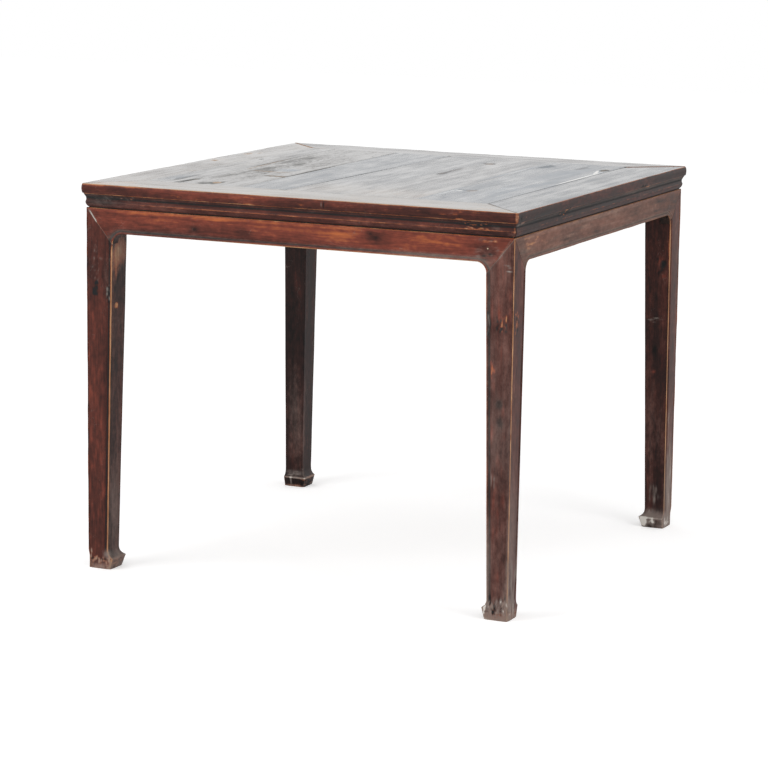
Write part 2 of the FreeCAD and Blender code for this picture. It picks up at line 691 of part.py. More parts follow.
for item in doc.Objects:
    if "Invalid" in item.State or "Error" in item.State:
        raise RuntimeError(f"{item.Label} is {item.State}")
    cuts = item.TypeId in ("PartDesign::Pocket", "PartDesign::SubtractivePipe")
    if cuts and not item.Label.startswith((END_MOULDINGS, NEIGHBOUR_MORTISES)):
        if item.Shape.Volume >= item.BaseFeature.Shape.Volume - 1:
            raise RuntimeError(f"{item.Label} cuts nothing")
for piece in pieces:
    if piece.Shape.isNull() or not piece.Shape.isValid() or len(piece.Shape.Solids) != 1:
        raise RuntimeError(f"{piece.Label} is not one sound solid")

os.makedirs("parts", exist_ok=True)
for piece in pieces:
    piece.Shape.exportStep(f"parts/{piece.Label}.step")
    print(f"{piece.Label}: {piece.Shape.Volume / 1000:.1f} cm3")
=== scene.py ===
"""Looks of a square Chinese table for eight, in softwood under a worn red-brown lacquer.

Each wooden member is lofted as its own closed mesh around the solid that it stands for. Every
point of a mesh carries what has happened to the wood there: how far the lacquer is rubbed
through, how much dirt lies in a hollow, how deep the colour is and which way the grain runs.
The same values also hold painted shade, in the step and notch under the frame's band and on the
legs' inner faces, and painted highlights along a few seam edges of the top. The finishes read
those values, so colour, gloss and relief follow the shape of each piece.
"""

import logging
import math
from dataclasses import dataclass, field, replace
from enum import Enum

import bmesh
import bpy
import numpy as np
from mathutils import Matrix, Vector

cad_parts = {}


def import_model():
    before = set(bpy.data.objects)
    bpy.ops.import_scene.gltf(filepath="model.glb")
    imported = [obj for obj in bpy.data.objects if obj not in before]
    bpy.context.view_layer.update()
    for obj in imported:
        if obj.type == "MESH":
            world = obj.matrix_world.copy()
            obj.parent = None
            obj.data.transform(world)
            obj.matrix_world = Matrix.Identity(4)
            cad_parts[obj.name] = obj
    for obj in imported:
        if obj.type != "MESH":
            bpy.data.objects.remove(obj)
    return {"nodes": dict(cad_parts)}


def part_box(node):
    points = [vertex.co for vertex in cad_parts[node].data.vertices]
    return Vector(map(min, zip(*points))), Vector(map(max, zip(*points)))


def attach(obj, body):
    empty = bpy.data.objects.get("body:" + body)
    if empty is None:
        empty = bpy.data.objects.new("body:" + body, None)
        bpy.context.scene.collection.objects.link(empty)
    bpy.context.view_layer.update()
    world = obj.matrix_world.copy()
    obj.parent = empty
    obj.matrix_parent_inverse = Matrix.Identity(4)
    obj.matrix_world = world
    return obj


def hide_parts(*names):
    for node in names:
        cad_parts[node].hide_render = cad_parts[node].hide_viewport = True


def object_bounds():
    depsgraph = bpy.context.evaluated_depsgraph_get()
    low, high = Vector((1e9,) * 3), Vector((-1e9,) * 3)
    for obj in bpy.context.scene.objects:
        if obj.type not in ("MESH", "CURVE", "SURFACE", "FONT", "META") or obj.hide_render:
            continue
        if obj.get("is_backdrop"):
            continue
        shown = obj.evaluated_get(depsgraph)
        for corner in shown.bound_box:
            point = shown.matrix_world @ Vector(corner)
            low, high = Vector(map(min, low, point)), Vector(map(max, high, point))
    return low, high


LOG = logging.getLogger("table")
MM = 0.001
LATTICE = 64  # cells after which the seeded noise repeats
TINY = 1e-9  # keeps a length of nothing from dividing
DOWN = np.array((0.0, 0.0, -1.0))
QUARTER_TURNS = ((1, 0), (0, 1), (-1, 0), (0, -1))  # cosine and sine of each
SIZE_SPREAD = (0.6, 1.5)  # smallest and largest mark, as shares of the typical one
FORCE_SPREAD = (0.6, 1.3)  # the same for what each mark changes
STROKE_STEP = 1.2  # reaches from one mark of a stroke to the next
STROKE_SUM = 1.48  # what marks that close add up to

Array = np.ndarray
Pair = tuple[float, float]
Spot = tuple[float, float, float]  # along a piece, inward and up, in millimetres
Socket = bpy.types.NodeSocket


class Place(Enum):
    """A place on the table that nodes are named after."""

    @property
    def word(self) -> str:
        """The place as the nodes have it."""
        return self.name.lower()


class Side(Place):
    """The four sides of the table, each a quarter turn on from the last."""

    FRONT = 0
    RIGHT = 1
    BACK = 2
    LEFT = 3

    def turned(self, steps: int) -> "Side":
        """The side that lies some quarter turns on."""
        return Side((self.value + steps) % 4)


class Corner(Place):
    """The four legs, each at the left end of the side with the same number."""

    FRONT_LEFT = 0
    FRONT_RIGHT = 1
    BACK_RIGHT = 2
    BACK_LEFT = 3


def linear(colour: str) -> tuple[float, float, float, float]:
    """Turn an sRGB hex colour to linear light.

    Args:
        colour: The colour as "#rrggbb".

    Returns:
        Red, green, blue and an alpha of 1.
    """
    parts = [int(colour[at : at + 2], 16) / 255 for at in (1, 3, 5)]
    lit = [p / 12.92 if p <= 0.04045 else ((p + 0.055) / 1.055) ** 2.4 for p in parts]
    return (*lit, 1.0)


def drift(across: Array, along: Array, seed: int) -> Array:
    """Smooth seeded noise with one bump per unit of its two coordinates.

    Args:
        across: First coordinate.
        along: Second coordinate, of a shape that goes with the first.
        seed: Picks the pattern.

    Returns:
        Values between -1 and 1.
    """
    lattice = np.random.default_rng(seed).uniform(-1, 1, (LATTICE, LATTICE))
    across, along = np.broadcast_arrays(across, along)
    row, column = np.floor(across).astype(int), np.floor(along).astype(int)
    down, right = across - row, along - column
    down, right = down * down * (3 - 2 * down), right * right * (3 - 2 * right)
    row, column, next_row, next_column = (at % LATTICE for at in (row, column, row + 1, column + 1))
    near = lattice[row, column] * (1 - down) + lattice[next_row, column] * down
    far = lattice[row, next_column] * (1 - down) + lattice[next_row, next_column] * down
    return near * (1 - right) + far * right


def ease(value: Array, low: float, high: float) -> Array:
    """Smooth step from 0 at low to 1 at high."""
    t = np.clip((value - low) / (high - low), 0, 1)
    return t * t * (3 - 2 * t)


def spaced(start: float, finish: float, count: int) -> Array:
    """Points from start to finish that crowd towards both ends, the first left out."""
    return start + (finish - start) * (1 - np.cos(np.pi * np.arange(1, count + 1) / count)) / 2


# --- shape ---


@dataclass
class Outline:
    """A section drawn as a chain of straight and curved runs, in millimetres.

    Attributes:
        points: The section's points in order.
        arrises: Index of each point that was kept by name.
    """

    points: list[Pair]
    arrises: dict[str, int] = field(default_factory=dict)

    def keep(self, name: str) -> None:
        """Keep the last point under a name."""
        self.arrises[name] = len(self.points) - 1

    def line_to(self, across: float, up: float, count: int) -> None:
        """Go straight on to a point, with samples that crowd towards both ends."""
        start = self.points[-1]
        self.points += list(zip(spaced(start[0], across, count), spaced(start[1], up, count)))

    def arc_to(self, across: float, up: float, radius: float, turn: int, count: int) -> None:
        """Go on to a point along the shorter arc.

        Args:
            across: The point's first coordinate.
            up: The point's second coordinate.
            radius: The arc's radius.
            turn: 1 to turn left, -1 to turn right.
            count: How many points to add.
        """
        start, finish = np.array(self.points[-1]), np.array((across, up))
        chord = finish - start
        half = np.linalg.norm(chord) / 2
        left = np.array((-chord[1], chord[0])) / (2 * half)
        centre = (start + finish) / 2 + left * turn * math.sqrt(radius**2 - half**2)
        sweep = 2 * math.asin(half / radius) * turn
        first = start - centre
        for angle in np.linspace(0, sweep, count + 1)[1:]:
            cos, sin = math.cos(angle), math.sin(angle)
            x, y = first[0] * cos - first[1] * sin, first[0] * sin + first[1] * cos
            self.points.append((centre[0] + x, centre[1] + y))

    def closeness(self, name: str, reach: float) -> Array:
        """How near each point lies to a named one along the closed section.

        Args:
            name: Name of the kept point.
            reach: Distance at which the value has fallen to about a third.

        Returns:
            One value from 0 to 1 for each point.
        """
        places = np.array(self.points)
        steps = np.linalg.norm(np.roll(places, -1, 0) - places, axis=1)
        along = np.concatenate(([0], np.cumsum(steps)[:-1]))
        away = np.abs(along - along[self.arrises[name]])
        away = np.minimum(away, steps.sum() - away)
        return np.exp(-((away / reach) ** 2))


@dataclass
class Mark:
    """Something that has happened to a piece at one spot.

    Attributes:
        at: Its middle: along the piece, inward and up.
        reach: How far it spreads each way.
        tone: Change of the lacquer's colour, from sooty (-1) to rubbed thin (+1).
        worn: How far the wood is laid bare.
        grimed: How much dirt has gathered.
        dusty: How much grey dust and scuffing lies on it; on a few seam edges of the top, a painted
            highlight.
        swirl: How strongly the grain bends around it.
        dent: How deep it is pressed in.
    """

    at: Spot
    reach: Spot
    tone: float = 0.0
    worn: float = 0.0
    grimed: float = 0.0
    dusty: float = 0.0
    swirl: float = 0.0
    dent: float = 0.0


def knot(at: Spot, size: float, depth: float = 1.0, along: int = 0) -> list[Mark]:
    """A knot: a small dark core in a soft dark streak where the grain swings around it.

    Args:
        at: Its middle.
        size: Radius of its core in millimetres.
        depth: How dark it is, 1 for a plain dark knot.
        along: The axis of the piece's frame that the grain follows.

    Returns:
        The marks that make it.
    """

    def reach(longways: float, sideways: float) -> tuple[float, ...]:
        """Reach of a mark in multiples of the core's radius."""
        return tuple(size * (longways if axis == along else sideways) for axis in range(3))

    return [
        Mark(at, reach(5.5, 1.9), tone=-0.14 * depth, swirl=0.4),
        Mark(at, reach(2.2, 1.4), tone=-0.18 * depth, grimed=0.16 * depth, swirl=0.4),
        Mark(at, reach(0.9, 0.7), tone=-0.1, grimed=0.4 * depth, dent=0.2),
    ]


def scatter(at: Spot, spread: Spot, count: int, reach: Spot, seed: int, **changes: float) -> list[Mark]:
    """Chips, pits or scuffs: many small uneven marks.

    Args:
        at: Middle of the cluster in the piece's frame.
        spread: How far the marks lie about it each way.
        count: How many marks.
        reach: Typical reach of one mark.
        seed: Picks their places and sizes.
        **changes: What each mark changes, as Mark names it.

    Returns:
        The marks.
    """
    random = np.random.default_rng(seed)
    marks = []
    for _ in range(count):
        place = np.array(at) + random.uniform(-1, 1, 3) * spread
        size = np.array(reach) * random.uniform(*SIZE_SPREAD, 3)
        drawn = {name: value * random.uniform(*FORCE_SPREAD) for name, value in changes.items()}
        marks.append(Mark(tuple(place), tuple(size), **drawn))
    return marks


def stroke(start: Spot, finish: Spot, reach: Spot, **changes: float) -> list[Mark]:
    """A narrow line, as a row of marks that overlap.

    Args:
        start: Its first end in the piece's frame.
        finish: Its other end.
        reach: Reach of one mark.
        **changes: What it changes, as Mark names it.

    Returns:
        The marks.
    """
    in_reaches = float(np.linalg.norm(np.subtract(finish, start) / np.array(reach)))
    count = 1 + math.ceil(in_reaches / STROKE_STEP)
    each = {name: value * (1 / STROKE_SUM) for name, value in changes.items()}
    return [Mark(tuple(place), reach, **each) for place in np.linspace(start, finish, count)]


@dataclass
class Split:
    """A crack along the grain that opens and closes again.

    Attributes:
        start: Along and across at its first end, in millimetres.
        finish: Along and across at its other end.
        width: Width where it is widest.
    """

    start: Pair
    finish: Pair
    width: float


@dataclass(frozen=True)
class Look:
    """How one face of a piece has aged as a whole.

    Attributes:
        tone: Depth of the lacquer's colour, from sooty (0) to rubbed thin (1); on the legs' inner faces its
            low values are partly painted shade.
        dusty: How much grey dust and scuffing lies on it.
        grimed: How much dirt lies on it.
    """

    tone: float
    dusty: float = 0.0
    grimed: float = 0.0


@dataclass
class Skin:
    """A lofted piece: rings of points, with the state of the wood at each.

    Attributes:
        points: Rings by ring points by three, in millimetres.
        seed: Picks the wood that the piece is cut from.
        order: The axes of the piece's frame along, across and through the grain.
    """

    points: Array
    seed: int
    order: tuple[int, int, int] = (0, 1, 2)

    STATE = ("worn", "grimed", "tone", "dusty")
    WORN_STRETCHES = (70, 19)  # millimetres between worn stretches, broad and fine
    SWIRL = (0.1, 1, 1)  # share of a knot's swirl along, across and through the grain
    CRACK_BENDS = (38, 0.9)  # millimetres between the bends of a crack, and sideways
    THINNEST = 0.02  # half of a crack's width where it has closed
    FAR = 60.0  # half widths from a crack where it has no effect
    LOT = 3.0  # metres of the wood's pattern that pieces are cut from, each way
    SHARP = 38  # degrees between faces from which an edge is sharp

    def __post_init__(self) -> None:
        """Start with even, unmarked wood."""
        shape = self.points.shape[:2]
        self.worn = np.zeros(shape)
        self.grimed = np.zeros(shape)
        self.tone = np.full(shape, 0.5)
        self.dusty = np.zeros(shape)
        self.splits = np.full((*shape, 3), self.FAR)
        self.grain = self.points[..., list(self.order)].copy()

    def dress(self, where: slice | Array, look: Look) -> None:
        """Give some points of each ring the look of their face."""
        for label in ("tone", "dusty", "grimed"):
            getattr(self, label)[:, where] = getattr(look, label)

    def press(self, depth: Array, inward: Array | None = None) -> None:
        """Move points into the wood.

        Args:
            depth: How far, for each point.
            inward: Directions, or none for square to each ring's line.
        """
        if inward is None:
            along_ring = np.roll(self.points, -1, 1) - np.roll(self.points, 1, 1)
            along_ring /= np.linalg.norm(along_ring, axis=2, keepdims=True) + TINY
            between = np.gradient(self.points, axis=0)
            between /= np.linalg.norm(between, axis=2, keepdims=True) + TINY
            inward = np.cross(along_ring, between)
            middle = self.points.mean(1, keepdims=True)
            outward = np.sum(inward * (self.points - middle), axis=2).sum()
            inward *= -1 if outward > 0 else 1
        self.points += inward * np.broadcast_to(depth, self.points.shape[:2])[..., None]

    def wear(self, closeness: Array, strength: float, depth: float, seed: int) -> None:
        """Rub an arris down unevenly along its length.

        Args:
            closeness: Nearness of each ring point to the arris.
            strength: How far the lacquer is worn through, 1 for all the way.
            depth: Most wood lost.
            seed: Picks where it is worn most.
        """
        along = np.linalg.norm(self.points - self.points[:1], axis=2).mean(1)[:, None]
        broad, fine = (
            drift(along / stretch, along * 0, seed + step) for step, stretch in enumerate(self.WORN_STRETCHES)
        )
        uneven = 0.5 + 0.35 * broad + 0.3 * fine
        self.worn = np.maximum(self.worn, closeness * strength * (0.64 + 0.58 * uneven))
        self.press(closeness * depth * np.clip(uneven, 0, 1))

    def mark(self, *marks: Mark) -> None:
        """Put marks on the piece, one after another.

        Args:
            *marks: The marks.
        """
        for one in marks:
            offset = self.points - np.array(one.at)
            near = np.exp(-np.sum((offset / np.array(one.reach)) ** 2, axis=2))
            for label in self.STATE:
                getattr(self, label)[...] += getattr(one, label) * near
            if one.swirl:
                bend = offset[..., list(self.order)] * (one.swirl * near)[..., None]
                self.grain -= bend * self.SWIRL
            if one.dent:
                self.press(near * one.dent)

    def split(self, channel: int, crack: Split, along: Array, across: Array) -> None:
        """Lay a crack over the piece, as signed distances in half widths.

        Args:
            channel: Which of the three cracks of a piece this is.
            crack: The crack.
            along: Coordinate of each point along the grain.
            across: Coordinate of each point across it.
        """
        share = (along - crack.start[0]) / (crack.finish[0] - crack.start[0])
        line = crack.start[1] + (crack.finish[1] - crack.start[1]) * share
        wave, sideways = self.CRACK_BENDS
        line = line + sideways * drift(along / wave, along * 0, self.seed + 40 + channel)
        half = crack.width / 2 * np.sqrt(np.clip(4 * share * (1 - share), 0, 1))
        distance = (across - line) / np.maximum(half, self.THINNEST)
        self.splits[..., channel] = np.clip(distance, -self.FAR, self.FAR)

    def build(self, name: str, turn: int, shift: Pair) -> bpy.types.Object:
        """Make the mesh and put it in its place in the table.

        Args:
            name: The object's name.
            turn: Quarter turns about the upright axis.
            shift: Added to x and y before the turn, in millimetres.

        Returns:
            The new object, in metres.
        """
        rings, count = self.points.shape[:2]
        cos, sin = QUARTER_TURNS[turn % 4]
        x, y, z = np.moveaxis(self.points + (*shift, 0), 2, 0)
        places = np.stack((cos * x - sin * y, sin * x + cos * y, z), axis=2)
        index = np.arange(rings * count).reshape(rings, count)
        here, on = index[:-1], index[1:]
        quads = np.stack((here, np.roll(here, -1, 1), np.roll(on, -1, 1), on), axis=2).reshape(-1, 4)
        caps = [index[0][::-1].tolist(), index[-1].tolist()]
        mesh = bpy.data.meshes.new(name)
        mesh.from_pydata((places.reshape(-1, 3) * MM).tolist(), [], quads.tolist() + caps)
        for label in self.STATE:
            stored = mesh.attributes.new(label, "FLOAT", "POINT")
            stored.data.foreach_set("value", getattr(self, label).ravel())
        lot = np.random.default_rng(self.seed).uniform(-self.LOT, self.LOT, 3)
        for label, values in (("grain", self.grain * MM + lot), ("splits", self.splits)):
            stored = mesh.attributes.new(label, "FLOAT_VECTOR", "POINT")
            stored.data.foreach_set("vector", values.ravel())
        work = bmesh.new()
        work.from_mesh(mesh)
        bmesh.ops.recalc_face_normals(work, faces=work.faces)
        work.to_mesh(mesh)
        work.free()
        mesh.shade_smooth()
        mesh.set_sharp_from_angle(angle=math.radians(self.SHARP))
        made = bpy.data.objects.new(name, mesh)
        bpy.context.scene.collection.objects.link(made)
        return made


# --- finishes ---


def add(
    tree: bpy.types.NodeTree,
    kind: str,
    inputs: dict[int | str, object] | None = None,
    stops: list[tuple[float, str]] | None = None,
    **settings: object,
) -> bpy.types.Node:
    """Add a shader node with its settings, values and links.

    Args:
        tree: The node tree.
        kind: The node's type, without its "ShaderNode" prefix.
        inputs: A value or another node's socket for each named or numbered input.
        stops: For a colour ramp, its places and hex colours.
        **settings: Properties of the node.

    Returns:
        The new node.
    """
    made = tree.nodes.new(f"ShaderNode{kind}")
    for name, value in settings.items():
        setattr(made, name, value)
    for name, value in (inputs or {}).items():
        if isinstance(value, bpy.types.NodeSocket):
            tree.links.new(value, made.inputs[name])
        else:
            made.inputs[name].default_value = value
    if stops:
        elements = made.color_ramp.elements
        while len(elements) < len(stops):
            elements.new(1.0)
        for element, (place, colour) in zip(elements, stops):
            element.position, element.color = place, linear(colour)
    return made


@dataclass
class Weave:
    """A material's node tree, with the sums and layers that a finish is made of.

    Attributes:
        tree: The node tree.
        patterns: The patterns of the wood by name, from 0 to 1.
    """

    tree: bpy.types.NodeTree
    patterns: dict[str, Socket] = field(default_factory=dict)

    def maths(self, operation: str, *terms: object) -> Socket:
        """Result of an operation on numbers or sockets."""
        return add(self.tree, "Math", dict(enumerate(terms)), operation=operation).outputs[0]

    def lean(self, value: object, amounts: dict[str, float], share: float = 1.0) -> object:
        """Make a value uneven by adding centred patterns to it.

        Args:
            value: The number or socket to start from.
            amounts: How much of each pattern to add.
            share: Share of those amounts.

        Returns:
            The uneven value's socket.
        """
        for pattern, amount in amounts.items():
            centred = self.maths("SUBTRACT", self.patterns[pattern], 0.5)
            value = self.maths("MULTIPLY_ADD", centred, amount * share, value)
        return value

    def step(self, value: object, low: float, high: float, most: float = 1.0) -> Socket:
        """Smooth step of a value from nothing at low to most at high."""
        ends = {"Value": value, "From Min": low, "From Max": high, "To Min": 0.0, "To Max": most}
        return add(self.tree, "MapRange", ends, interpolation_type="SMOOTHSTEP").outputs[0]

    def blend(self, share: object, under: object, over: object) -> Socket:
        """Lay one colour over another, as far as a share from 0 to 1 says."""
        return add(self.tree, "Mix", {0: share, 6: under, 7: over}, data_type="RGBA").outputs[2]


@dataclass(frozen=True)
class AgedLacquer:
    """Softwood under a thin hand-brushed red-brown lacquer, long in use.

    The grain shows through it. Hands and cloths have rubbed it thin and orange where they reach,
    and soot and wax have blackened it where they don't. Dirt and wear break its satin gloss. Its dirt
    layer also lays painted shade into hollows, and its white layer painted highlights along a few edges.

    Attributes:
        name: The material's name.
        film: Colours of the lacquer from sooty to rubbed thin.
        bare: Darkest and palest colour of the wood laid bare.
        grime: Old dirt, and painted shade in the frame's hollows.
        dust: Dust and light scuffing, and painted highlight along a seam edge of the top.
        chalk_and_highlight: White scrapes and painted highlights, where the dust and highlight value goes
            beyond 1.
        contrast: How strongly the figure of the wood shows.
        gloss: Roughness of the cleanest film.
        specular: Strength of its mirror.
        wax: Weight of a polished wax coat.
        relief: How strongly the figure stands up.
        broken: How much rougher dirt, dust or wear makes it.
        placed: Whether the wood's state comes from the points, or is even.
    """

    name: str
    film: tuple[str, str, str, str, str]
    bare: tuple[str, str]
    grime: str
    dust: str
    chalk_and_highlight: str = "#cfc8c0"
    contrast: float = 1.0
    gloss: float = 0.42
    specular: float = 0.17
    wax: float = 0.0
    relief: float = 1.0
    broken: float = 0.3
    placed: bool = True

    # patterns of the wood: millimetres along and across the grain, and their detail
    PATTERNS = {
        "rings": (420.0, 30.0, 1.0),
        "fibres": (38.0, 1.7, 2.5),  # as coarse as they must be to show
        "clouds": (120.0, 42.0, 4.0),
        "mottle": (17.0, 8.0, 4.0),
        "specks": (3.4, 2.2, 2.0),
        "streaks": (380.0, 16.0, 2.0),
        "scratches": (34.0, 26.0, 1.0),
    }
    PATTERN_ROUGHNESS = 0.6
    RING_LINES = 15.0  # growth lines per unit of the broad pattern that they follow
    EVEN = {"worn": 0.0, "grimed": 0.1, "tone": 0.5, "dusty": 0.2}  # state of unmarked wood

    # how much each pattern adds to the colour, to each layer, to the gloss and to the relief
    FIGURE = {"lines": 0.05, "rings": 0.26, "streaks": 0.24, "fibres": 0.22, "clouds": 0.46, "mottle": 0.42}
    GRIME_AND_SHADE_BREAKS = {"mottle": 0.6, "fibres": 0.35, "specks": 0.4}
    WEAR_BREAKS = {"mottle": 0.5, "fibres": 0.4, "specks": 0.4}
    DUST_BREAKS = {"mottle": 0.45, "streaks": 0.36, "clouds": 0.5, "specks": 0.2}
    GLOSS_BREAKS = {"mottle": 0.15, "clouds": 0.8, "streaks": 0.6}
    HEIGHTS = {"fibres": 0.1, "mottle": 0.14, "specks": 0.05, "streaks": 0.14, "clouds": 0.3}

    # value at which each layer starts and at which it is full, and the most that it hides
    GRIME_AND_SHADE_LAYER = (0.28, 0.78, 0.92)
    BARED = (0.45, 0.72)
    THINNED = (0.15, 0.5, 0.6)
    GREYED = (0.08, 1.0, 0.8)
    CHALK_AND_HIGHLIGHT = (1.05, 1.6, 0.95)
    SCRATCHED = (0.54, 0.68, 0.22)
    SCRATCH_EDGE = (0.003, 0.011)  # the same, as distance from a contour
    SHUT = (0.5, 1.3)  # the same beside a crack, in its half widths

    FILM_STOPS = (0.08, 0.3, 0.52, 0.74, 0.97)  # places of the film's colours
    WOOD_STOPS = (0.3, 0.68)  # places of the bare wood's colours
    CRACK = "#120d0b"
    CRACK_DEPTH = 0.8  # how deep a crack looks, in millimetres
    BUMP = 0.6  # strength of the relief

    def material(self) -> bpy.types.Material:
        """Build the material.

        Returns:
            The new material.
        """
        made = bpy.data.materials.new(self.name)
        made.use_nodes = True
        made.node_tree.nodes.clear()
        weave = Weave(made.node_tree)
        state, grain = self.read(weave)
        self.lay_patterns(weave, grain)
        colour, dirt, bared = self.lacquer(weave, state)
        # grey dust, and on a few seam edges of the top a painted highlight, from the dust value
        settled = weave.lean(state["dusty"], self.DUST_BREAKS)
        greyed = weave.maths("MAXIMUM", weave.step(settled, *self.GREYED), self.scratches(weave))
        colour = weave.blend(greyed, colour, linear(self.dust))
        # past 1 the dust value lays white scrapes, and painted highlights along seam edges of the top
        colour = weave.blend(weave.step(settled, *self.CHALK_AND_HIGHLIGHT), colour, linear(self.chalk_and_highlight))
        shut = 1.0
        if self.placed:
            shut = self.shut(weave)
            colour = weave.blend(shut, linear(self.CRACK), colour)

        rough = self.gloss
        for layer, amount in ((dirt, 1.0), (bared, 1.0), (greyed, 0.4)):
            rough = weave.maths("MULTIPLY_ADD", layer, amount * self.broken, rough)
        rough = weave.lean(rough, self.GLOSS_BREAKS, self.broken)
        height = weave.lean(0.0, self.HEIGHTS, self.relief)
        height = weave.maths("MULTIPLY_ADD", shut, self.CRACK_DEPTH, height)
        bump = add(weave.tree, "Bump", {"Height": height, "Distance": 1.0 * MM, "Strength": self.BUMP})
        inputs = {"Base Color": colour, "Roughness": rough, "IOR": 1.5, "Normal": bump.outputs[0]}
        inputs |= {"Specular IOR Level": self.specular, "Coat Weight": self.wax, "Coat Roughness": 0.12}
        surface = add(weave.tree, "BsdfPrincipled", inputs)
        add(weave.tree, "OutputMaterial", {0: surface.outputs[0]})
        return made

    def read(self, weave: Weave) -> tuple[dict[str, object], Socket]:
        """State and grain of the wood, from the piece's points or even all over.

        Args:
            weave: The material's weave.

        Returns:
            Each state by name, and the place in the pattern of the wood.
        """
        if not self.placed:
            return dict(self.EVEN), add(weave.tree, "TexCoord").outputs["Object"]
        state = {
            label: add(weave.tree, "Attribute", attribute_name=label).outputs["Fac"] for label in self.EVEN
        }
        return state, add(weave.tree, "Attribute", attribute_name="grain").outputs["Vector"]

    def lay_patterns(self, weave: Weave, grain: Socket) -> None:
        """Add the patterns of the wood to a weave.

        Args:
            weave: The material's weave.
            grain: Place in the pattern of the wood.
        """
        for label, (along, across, detail) in self.PATTERNS.items():
            scale = (1 / (along * MM), 1 / (across * MM), 1 / (across * MM))
            places = add(weave.tree, "VectorMath", {0: grain, 1: scale}, operation="MULTIPLY").outputs[0]
            inputs = {"Vector": places, "Scale": 1.0, "Detail": detail, "Roughness": self.PATTERN_ROUGHNESS}
            weave.patterns[label] = add(weave.tree, "TexNoise", inputs).outputs[0]
        # growth lines follow the contours of the broad pattern, as on a flat-sawn face
        lines = weave.maths("MULTIPLY", weave.patterns["rings"], self.RING_LINES)
        lines = weave.maths("PINGPONG", lines, 0.5)
        weave.patterns["lines"] = weave.step(lines, 0.0, 0.42)

    def lacquer(self, weave: Weave, state: dict[str, object]) -> tuple[Socket, Socket, Socket]:
        """The film over the wood, dirt and painted shade on it, and the wood bare where it is rubbed off.

        Args:
            weave: The material's weave.
            state: State of the wood.

        Returns:
            The colour, how much dirt and painted shade lie on it, and how bare.
        """
        depth = weave.lean(state["tone"], self.FIGURE, self.contrast)
        film = add(weave.tree, "ValToRGB", {0: depth}, stops=list(zip(self.FILM_STOPS, self.film)))
        # the dirt layer also lays the painted shade of the frame's step, cove and notch
        dirt = weave.step(weave.lean(state["grimed"], self.GRIME_AND_SHADE_BREAKS), *self.GRIME_AND_SHADE_LAYER)
        colour = weave.blend(dirt, film.outputs[0], linear(self.grime))
        rubbed = weave.lean(state["worn"], self.WEAR_BREAKS)
        bared = weave.step(rubbed, *self.BARED)
        colour = weave.blend(weave.step(rubbed, *self.THINNED), colour, linear(self.film[-1]))
        shade = weave.lean(weave.patterns["fibres"], {"clouds": 0.5})
        wood = add(weave.tree, "ValToRGB", {0: shade}, stops=list(zip(self.WOOD_STOPS, self.bare)))
        return weave.blend(bared, colour, wood.outputs[0]), dirt, bared

    def scratches(self, weave: Weave) -> Socket:
        """Hairline scratches: thin contours of one pattern where another lets them show.

        Args:
            weave: The material's weave.

        Returns:
            How much each place is scratched.
        """
        line = weave.maths("SUBTRACT", weave.patterns["scratches"], 0.5)
        line = weave.maths("ABSOLUTE", line)
        line = weave.maths("MULTIPLY_ADD", weave.step(line, *self.SCRATCH_EDGE), -1.0, 1.0)
        shown = weave.step(weave.lean(weave.patterns["clouds"], {"specks": 0.8}), *self.SCRATCHED)
        return weave.maths("MULTIPLY", line, shown)

    def shut(self, weave: Weave) -> Socket:
        """How shut the wood is: nothing inside the nearest crack and 1 beside it.

        Args:
            weave: The material's weave.

        Returns:
            The value's socket.
        """
        cracks = add(weave.tree, "Attribute", attribute_name="splits").outputs["Vector"]
        cracks = add(weave.tree, "VectorMath", {0: cracks}, operation="ABSOLUTE").outputs[0]
        first, second, third = add(weave.tree, "SeparateXYZ", {0: cracks}).outputs
        nearest = weave.maths("MINIMUM", weave.maths("MINIMUM", first, second), third)
        return weave.step(nearest, *self.SHUT)


class Finish(Enum):
    """The finishes of this table."""

    LACQUER = AgedLacquer(
        name="red_brown_lacquer",
        film=("#120c0b", "#301b18", "#562c24", "#803f31", "#b7663c"),
        bare=("#96643f", "#cfa079"),
        grime="#202223",
        dust="#8b8079",
        chalk_and_highlight="#e4ded6",
    )
    TOP = AgedLacquer(
        name="rubbed_top",
        film=("#2b2620", "#433a33", "#5a5048", "#766654", "#a08266"),
        bare=("#8f7258", "#c2a98f"),
        grime="#2e2d23",
        dust="#858f9a",
        chalk_and_highlight="#e6e4e0",
        contrast=0.7,
        gloss=0.16,
        specular=0.5,
        wax=0.18,
        relief=0.3,
        broken=0.55,
    )
    FADED = AgedLacquer(
        name="faded_lacquer",
        film=("#150e0c", "#352119", "#5c3729", "#7b4b3a", "#ad764e"),
        bare=("#96643f", "#cfa079"),
        grime="#232020",
        dust="#8f7f75",
    )
    BARE = AgedLacquer(
        name="unlacquered_softwood",
        film=("#4f3a2b", "#6a4f3a", "#84664c", "#9a7a5c", "#b0906f"),
        bare=("#8f7050", "#c4a380"),
        grime="#33281f",
        dust="#a3978a",
        gloss=0.68,
        specular=0.3,
    )
    CARRIED = replace(BARE, name="unlacquered_batten", placed=False)
    PEG = AgedLacquer(
        name="pale_peg_end_grain",
        film=("#a58c72", "#bda58a", "#cfb99f", "#dccab2", "#e6d8c4"),
        bare=("#b39a7d", "#dccab2"),
        grime="#6b5a49",
        dust="#cfc6bb",
        contrast=0.5,
        gloss=0.6,
    )


class Palette:
    """Makes each finish's material once."""

    def __init__(self) -> None:
        """Start with no materials."""
        self.made: dict[Finish, bpy.types.Material] = {}

    def paint(self, piece: bpy.types.Object, finishes: list[Finish], second: Array | None = None) -> None:
        """Give a piece its finishes.

        Args:
            piece: The piece.
            finishes: One finish, or two.
            second: Whether each of the piece's side faces has the second one.
        """
        for finish in finishes:
            if finish not in self.made:
                self.made[finish] = finish.value.material()
            piece.data.materials.append(self.made[finish])
        if second is not None:
            slots = np.zeros(len(piece.data.polygons), int)
            slots[: len(second)] = second
            piece.data.polygons.foreach_set("material_index", slots)


